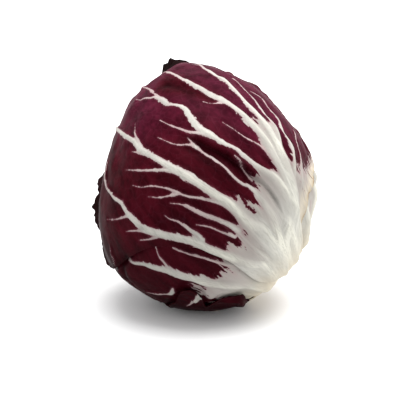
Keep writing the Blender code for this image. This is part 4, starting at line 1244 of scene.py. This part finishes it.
def red_border(f):
    """Millimetres outside the white, with teeth beside the ribs and torn tongues at the base."""
    place, grain_at = f.place(), f.attribute("grain", "Vector")
    rib_edge, base = f.attribute("rib_edge"), f.attribute("base_edge")
    teeth = f.noise(grain_at, 0.55, 2.0, 0.6).step(0.46, 0.78) * rib_edge.step(2.2, 0.4)
    ragged = f.noise(place, 1100.0, 2.0, 0.6) - 0.5
    tooth = f.maths("MINIMUM", f.attribute("rib_half"), 1.6) * 0.6 + 0.15
    rib_out = rib_edge - teeth * tooth - ragged * 0.6
    tongue = f.noise(grain_at, 0.42, 3.0, 0.62) - 0.5
    shreds = f.noise(grain_at, 1.0, 2.0, 0.6) - 0.5
    tears = f.noise(place, 420.0, 2.0, 0.6) - 0.5
    base_out = (base + 3.0) * 0.4 - tongue * 8.0 - shreds * 3.4 - tears * 2.2
    outside = f.maths("SMOOTH_MIN", rib_out, base_out, BORDER_BLEND)
    near_border = f.maths("ABSOLUTE", base + 5.0)
    island = (f.noise(grain_at, 0.75, 2.0, 0.6) - ISLANDS_ABOVE) * 16.0 - near_border * 0.25
    outside = f.maths("MAXIMUM", outside, f.maths("MINIMUM", island, rib_out - 0.5))
    return f.maths("MAXIMUM", outside, f.attribute("fleck") + tears * 3.0 + ragged * 1.2)


def pale_colour(f, outside, streak):
    """Cream with painted shade in valleys and furrows, grey streaks and mottling, rosy at the red,
    warm at stem and edge.
    """
    place, grain_at = f.place(), f.attribute("grain", "Vector")
    rib_edge, half = f.attribute("rib_edge"), f.attribute("rib_half")
    base, inset = f.attribute("base_edge"), f.attribute("inset")
    # painted shade: greyer in the valleys between ridges and where the furrows are low
    valley_shade = f.attribute("crown").step(0.95, 0.2)
    furrow = f.attribute("furrow").step(0.4, -0.35)
    rosy = base.step(-34.0, -9.0) * base.step(4.0, -3.0)
    flush = rib_edge.step(-0.5, 1.5) * base.step(-14.0, -1.0)
    tanned = f.attribute("brown") * inset.step(12.0, 0.5) * f.noise(grain_at, 0.7).step(0.25, 0.6)
    cream = f.layered(
        f.mix(base.step(-6.0, 6.0), CREAM, RIB_CREAM),
        (valley_shade * 0.8, SHADE_AND_MOTTLE_GREY),
        (streak.step(0.46, 0.62) * 0.55, STREAK_GREY),
        (f.noise(grain_at, 0.17).step(0.46, 0.66) * 0.5, SHADE_AND_MOTTLE_GREY),
        ((furrow * 0.55 + valley_shade * 0.55).clamp() * rosy, ROSY_VALLEY_SHADE),
        (furrow * 0.4, SHADE_AND_MOTTLE_GREY),
        (f.noise(grain_at, 1.7, 2.0, 0.55).step(0.52, 0.68) * 0.4, STREAK_GREY),
        (flush * f.noise(grain_at, 0.5).step(0.40, 0.65) * 0.25, BLUSH),
        (f.attribute("near_stem") * f.noise(place, 60.0).step(0.25, 0.5), IVORY),
        (half.step(0.9, 0.2) * rib_edge.step(0.6, 0.0) * 0.25, BLUSH),
        (tanned, IVORY),
        (tanned * inset.step(4.0, 0.3) * 0.8, EDGE_TAN),
        (outside.step(-0.8, 0.0) * 0.28, BLUSH),
    )
    # painted light and shade scale the cream
    return f.scaled(cream, f.attribute("pale_light_and_shade"))


def wine_colour(f, outside, brightness, mottle, fine, cell):
    """Deep to bright wine red along the grain, paler veins, pink by the white; painted light, shade
    and sheen.
    """
    deep_low, deep_with_sheen, bright_low, bright_with_sheen = (
        tuple(c * brightness for c in colour)
        for colour in (DEEP_LOW, DEEP_WITH_SHEEN, BRIGHT_LOW, BRIGHT_WITH_SHEEN)
    )
    grain_at, light_and_shade = f.attribute("grain", "Vector"), f.attribute("wine_light_and_shade")
    # painted sheen: bluer reds where the painted light is high
    deep = f.mix(light_and_shade.step(0.45, 1.0), deep_low, deep_with_sheen)
    bright = f.mix(light_and_shade.step(0.45, 1.0), bright_low, bright_with_sheen)
    fibres = f.noise(grain_at, 0.20) * 0.65 + f.noise(grain_at, 0.7) * 0.35
    wine = f.layered(
        deep,
        ((mottle * 0.2 + fibres * 0.8).step(0.27, 0.73), bright),
        (fine.step(0.35, 0.75) * 0.15, bright),
        (cell.step(0.05, 0.0) * 0.10, VEIN_PINK),
    )
    # painted light and shade scale the red, and pink is laid next to the white
    return f.mix(outside.step(0.8, 0.0) * 0.12, f.scaled(wine, light_and_shade), BLUSH)


def leaf_finish(name, brightness):
    """The material of one leaf; brightness scales how light the wine red is."""
    f = Finish(name, 0.45, LEAF_IOR)
    place, grain_at = f.place(), f.attribute("grain", "Vector")
    rib_edge, inset = f.attribute("rib_edge"), f.attribute("inset")
    outside = red_border(f)
    white = outside.step(BORDER_SOFT, -BORDER_SOFT)
    way = f.attribute("rib_way") / 22.0
    lengthwise = f.vector(way, rib_edge / 0.75, f.attribute("rib_half") * 0.2)
    streak = f.noise(lengthwise, 1.0) * 0.6 + f.noise(grain_at, 1.0, 3.0, 0.6) * 0.4
    mottle = f.noise(place, 70.0, 3.0, 0.6)
    fine = f.noise(place, 520.0, 3.0, 0.65)
    shake = f.node("ShaderNodeTexNoise", {}, {"Vector": place, "Scale": 250.0}, "Color")
    shaken = {0: shake, 1: (VEIN_SHAKE,) * 3, 2: place}
    bent = f.node("ShaderNodeVectorMath", {"operation": "MULTIPLY_ADD"}, shaken)
    cell = f.cells(bent, 210.0)

    brown = f.attribute("brown") * inset.step(1.3, 0.2) * f.noise(place, 300.0).step(0.35, 0.6)
    black = f.attribute("black") * (inset * 0.5 - f.noise(place, 500.0) * 3.0).step(2.4, 0.4)
    black = black.clamp()
    colour = f.layered(
        wine_colour(f, outside, brightness, mottle, fine, cell),
        (white, pale_colour(f, outside, streak)),
        (brown, DRY_BROWN),
        (black, DRY_BLACK),
    )
    f.link(colour, "Base Color")
    f.link(0.42 - white * 0.02 + mottle * 0.10 + black * 0.3, "Roughness")
    puffed = cell.step(0.0, 0.25) * (1 - white) * 0.12
    f.bump(streak * white * 0.5 + fine * 0.35 + puffed, 0.0003, 0.7)
    return f.material


BRIGHTNESS = {
    "torn_leaf": 1.3, "front_leaf": 1.0, "right_leaf": 1.15, "lower_leaf": 1.4, "back_leaf": 1.2,
}
finishes = {name: leaf_finish(name + "_finish", bright) for name, bright in BRIGHTNESS.items()}
print("leaf finishes, with their nodes", {k: len(v.node_tree.nodes) for k, v in finishes.items()})

# %% [markdown]
# ## Making the leaves
# The front leaf fills most of the picture, so it gets the finest grid. Each leaf takes the place
# of two solids, its blade and its plate of ribs.

# %% Leaf pieces
FINEST_GRID = (200, 450)
USUAL_GRID = (140, 330)
for leaf in leaves:
    rings, sectors = FINEST_GRID if leaf is front else USUAL_GRID
    piece = leaf_piece(leaf, rings, sectors)
    piece.data.materials.append(finishes[leaf.name])
    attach(piece, "root")
    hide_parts(leaf.name + "_blade", leaf.name + "_ribs")

# %% [markdown]
# ## The heart and the cut stem
# The heart is hidden but for slits between the leaves. Its solid already has the right shape, so
# it stays and only gets its finish. The stem is a low stub, cream at its side and browned on its
# dry cut. It is a profile turned round its axis, with the cut a little uneven, and widens to a
# collar inside, so that no gap shows between it and the leaves' feet.

# %% The heart's finish
HEART_WINE = (0.10, 0.012, 0.028)


def heart_finish():
    """Wine red with darker clouds and a puffed surface."""
    f = Finish("heart_finish", 0.5)
    place = f.place()
    f.link(f.mix(f.noise(place, 160.0, 3.0).step(0.3, 0.7), DEEP_LOW, HEART_WINE), "Base Color")
    f.bump(f.cells(place, 180.0).step(0.0, 0.3), 0.0004)
    return f.material


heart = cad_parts["heart"].data
heart_red = heart_finish()
for index in range(len(heart.materials)):
    heart.materials[index] = heart_red
print("the heart wears", [material.name for material in heart.materials])

# %% The stem
STEM_HALF = 10.3 * DEG
STEM_SUNK = 0.9 * MM
STEM_DISHED = 0.6 * MM
STEM_RIM = 0.9 * MM
STEM_ROUGH = 0.35 * MM
STEM_ROUGH_SIZE = 2.2 * MM
STEM_DEPTH = 9.0 * MM
STEM_POINT = 1.5 * MM
STEM_COLLAR = 0.5
CUT_ROWS = 39
SIDE_ROWS = 8
STEM_SECTORS = 160
CUT_TAN = (0.46, 0.34, 0.20)
CUT_BROWN = (0.17, 0.085, 0.045)


def stem_piece():
    """Rings on the cut from the axis outwards, then down the side, which widens to a collar."""
    top = plump_radius(STEM_AXIS[None])[0]
    shares = np.append(np.linspace(0, 1, CUT_ROWS + 1)[1:], np.ones(SIDE_ROWS))
    falls = np.append(np.zeros(CUT_ROWS), np.linspace(0, 1, SIDE_ROWS + 1)[1:])
    share, turn = polar_grid(shares, STEM_SECTORS)
    fall, _ = polar_grid(falls, STEM_SECTORS)
    across = np.cos(turn)[:, None] * STEM_FRONT + np.sin(turn)[:, None] * STEM_SIDE
    angle = STEM_HALF * share * (1 + STEM_COLLAR * smooth_step(0.24, 0.5, fall))
    d = np.cos(angle)[:, None] * STEM_AXIS + np.sin(angle)[:, None] * across
    rim = STEM_RIM * smooth_step(0.75, 1.0, share)
    rough = STEM_ROUGH * soft_noise(d * HEAD_RADIUS, STEM_ROUGH_SIZE, 41) * (1 - fall)
    radius = top - STEM_SUNK + STEM_DISHED * share**2 - rim + rough - STEM_DEPTH * fall
    end = CENTRE + STEM_AXIS * (top - STEM_DEPTH - STEM_POINT)
    points = np.concatenate([CENTRE + d * radius[:, None], end[None]])
    last = 1 + (len(shares) - 1) * STEM_SECTORS
    inner_cap = cap_faces(last + STEM_SECTORS, last, STEM_SECTORS)[:, [1, 0, 2]]
    triangles = np.concatenate([cap_faces(0, 1, STEM_SECTORS), inner_cap])
    quads = ring_faces(1, len(shares), STEM_SECTORS)
    return make_mesh("cut_stem", points, quads, triangles, {"share": np.append(share, 0)})


def stem_finish():
    """Tan, browned in blotches and in rings, and cream round the rim and down the side."""
    f = Finish("stem_finish", 0.75)
    place = f.place()
    blotch = f.noise(place, 220.0, 4.0, 0.6)
    share = f.attribute("share")
    ring = f.maths("SINE", share * 38.0 + f.noise(place, 300.0) * 6.0) * 0.12
    cut = f.mix((blotch + ring).step(0.35, 0.68), CUT_TAN, CUT_BROWN)
    side = (share + blotch * 0.12).step(0.93, 1.02)
    f.link(f.mix(side, cut, IVORY), "Base Color")
    f.bump(f.noise(place, 900.0, 4.0, 0.7), 0.0005)
    return f.material


stem = stem_piece()
stem.data.materials.append(stem_finish())
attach(stem, "root")
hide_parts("stem")

# %% [markdown]
# ## Table, light and camera
# The photograph has a white table that is brighter than the head, soft light from above and a
# soft shadow round the spot that the head rests on. One wide sun gives the direction, and a pale
# sky fills the shadows.

# %% The table
TABLE_HALF = 6.0
TABLE_DROP = 0.2 * MM
TABLE_GREYS = ((0.81, 0.81, 0.812), (0.83, 0.83, 0.832))


def table_finish():
    """Nearly white, with clouds too faint and wide to see."""
    f = Finish("table_finish", 0.9)
    f.link(f.mix(f.noise(f.place(), 3.0), *TABLE_GREYS), "Base Color")
    return f.material


corners = np.array([[-1, -1, 0], [1, -1, 0], [1, 1, 0], [-1, 1, 0]]) * TABLE_HALF
corners[:, 2] -= TABLE_DROP
no_triangles = np.zeros((0, 3), int)
table = make_mesh("table", corners, np.array([[0, 1, 2, 3]]), no_triangles, {})
table.data.materials.append(table_finish())

# %% Sky and sun
SKY = 1.18
SUN = 3.55
SUN_WIDTH = 55 * DEG
SUN_FROM = unit(np.array([0.13, 0.02, 1.0]))


def turned_to(toward, up):
    """Axes in columns, with Z along toward and Y near up."""
    z = unit(toward)
    x = unit(np.cross(up, z))
    return np.stack([x, np.cross(z, x), z], 1)


def put(made, axes, position):
    """Places an object with its axes in the columns of its matrix."""
    whole = np.eye(4)
    whole[:3, :3] = axes
    whole[:3, 3] = position
    made.matrix_world = Matrix(whole.tolist())


world = bpy.data.worlds.new("pale_sky")
bpy.context.scene.world = world
world.use_nodes = True
background = world.node_tree.nodes["Background"]
background.inputs["Color"].default_value = (1, 1, 1, 1)
background.inputs["Strength"].default_value = SKY
sun = bpy.data.lights.new("overhead_light", "SUN")
sun.energy = SUN
sun.angle = SUN_WIDTH
sun_object = bpy.data.objects.new("overhead_light", sun)
bpy.context.scene.collection.objects.link(sun_object)
put(sun_object, turned_to(SUN_FROM, np.array([0.0, 1.0, 0.0])), SUN_FROM)
bpy.context.scene.view_settings.view_transform = "Standard"
print("the sun shines from", SUN_FROM.round(2).tolist())

# %% Camera
FRAME_WIDTH = 0.200
SENSOR = 36.0
OFFSET = -2.1 * MM * RIGHT - 4.6 * MM * UP
camera = bpy.data.cameras.new("front_view")
camera.sensor_width = SENSOR
camera.lens = SENSOR * VIEW_DISTANCE / FRAME_WIDTH
camera_object = bpy.data.objects.new("front_view", camera)
bpy.context.scene.collection.objects.link(camera_object)
put(camera_object, np.stack([RIGHT, UP, TOWARD], 1), CENTRE + VIEW_DISTANCE * TOWARD + OFFSET)
bpy.context.scene.camera = camera_object
print("lens", round(camera.lens, 1), "mm")
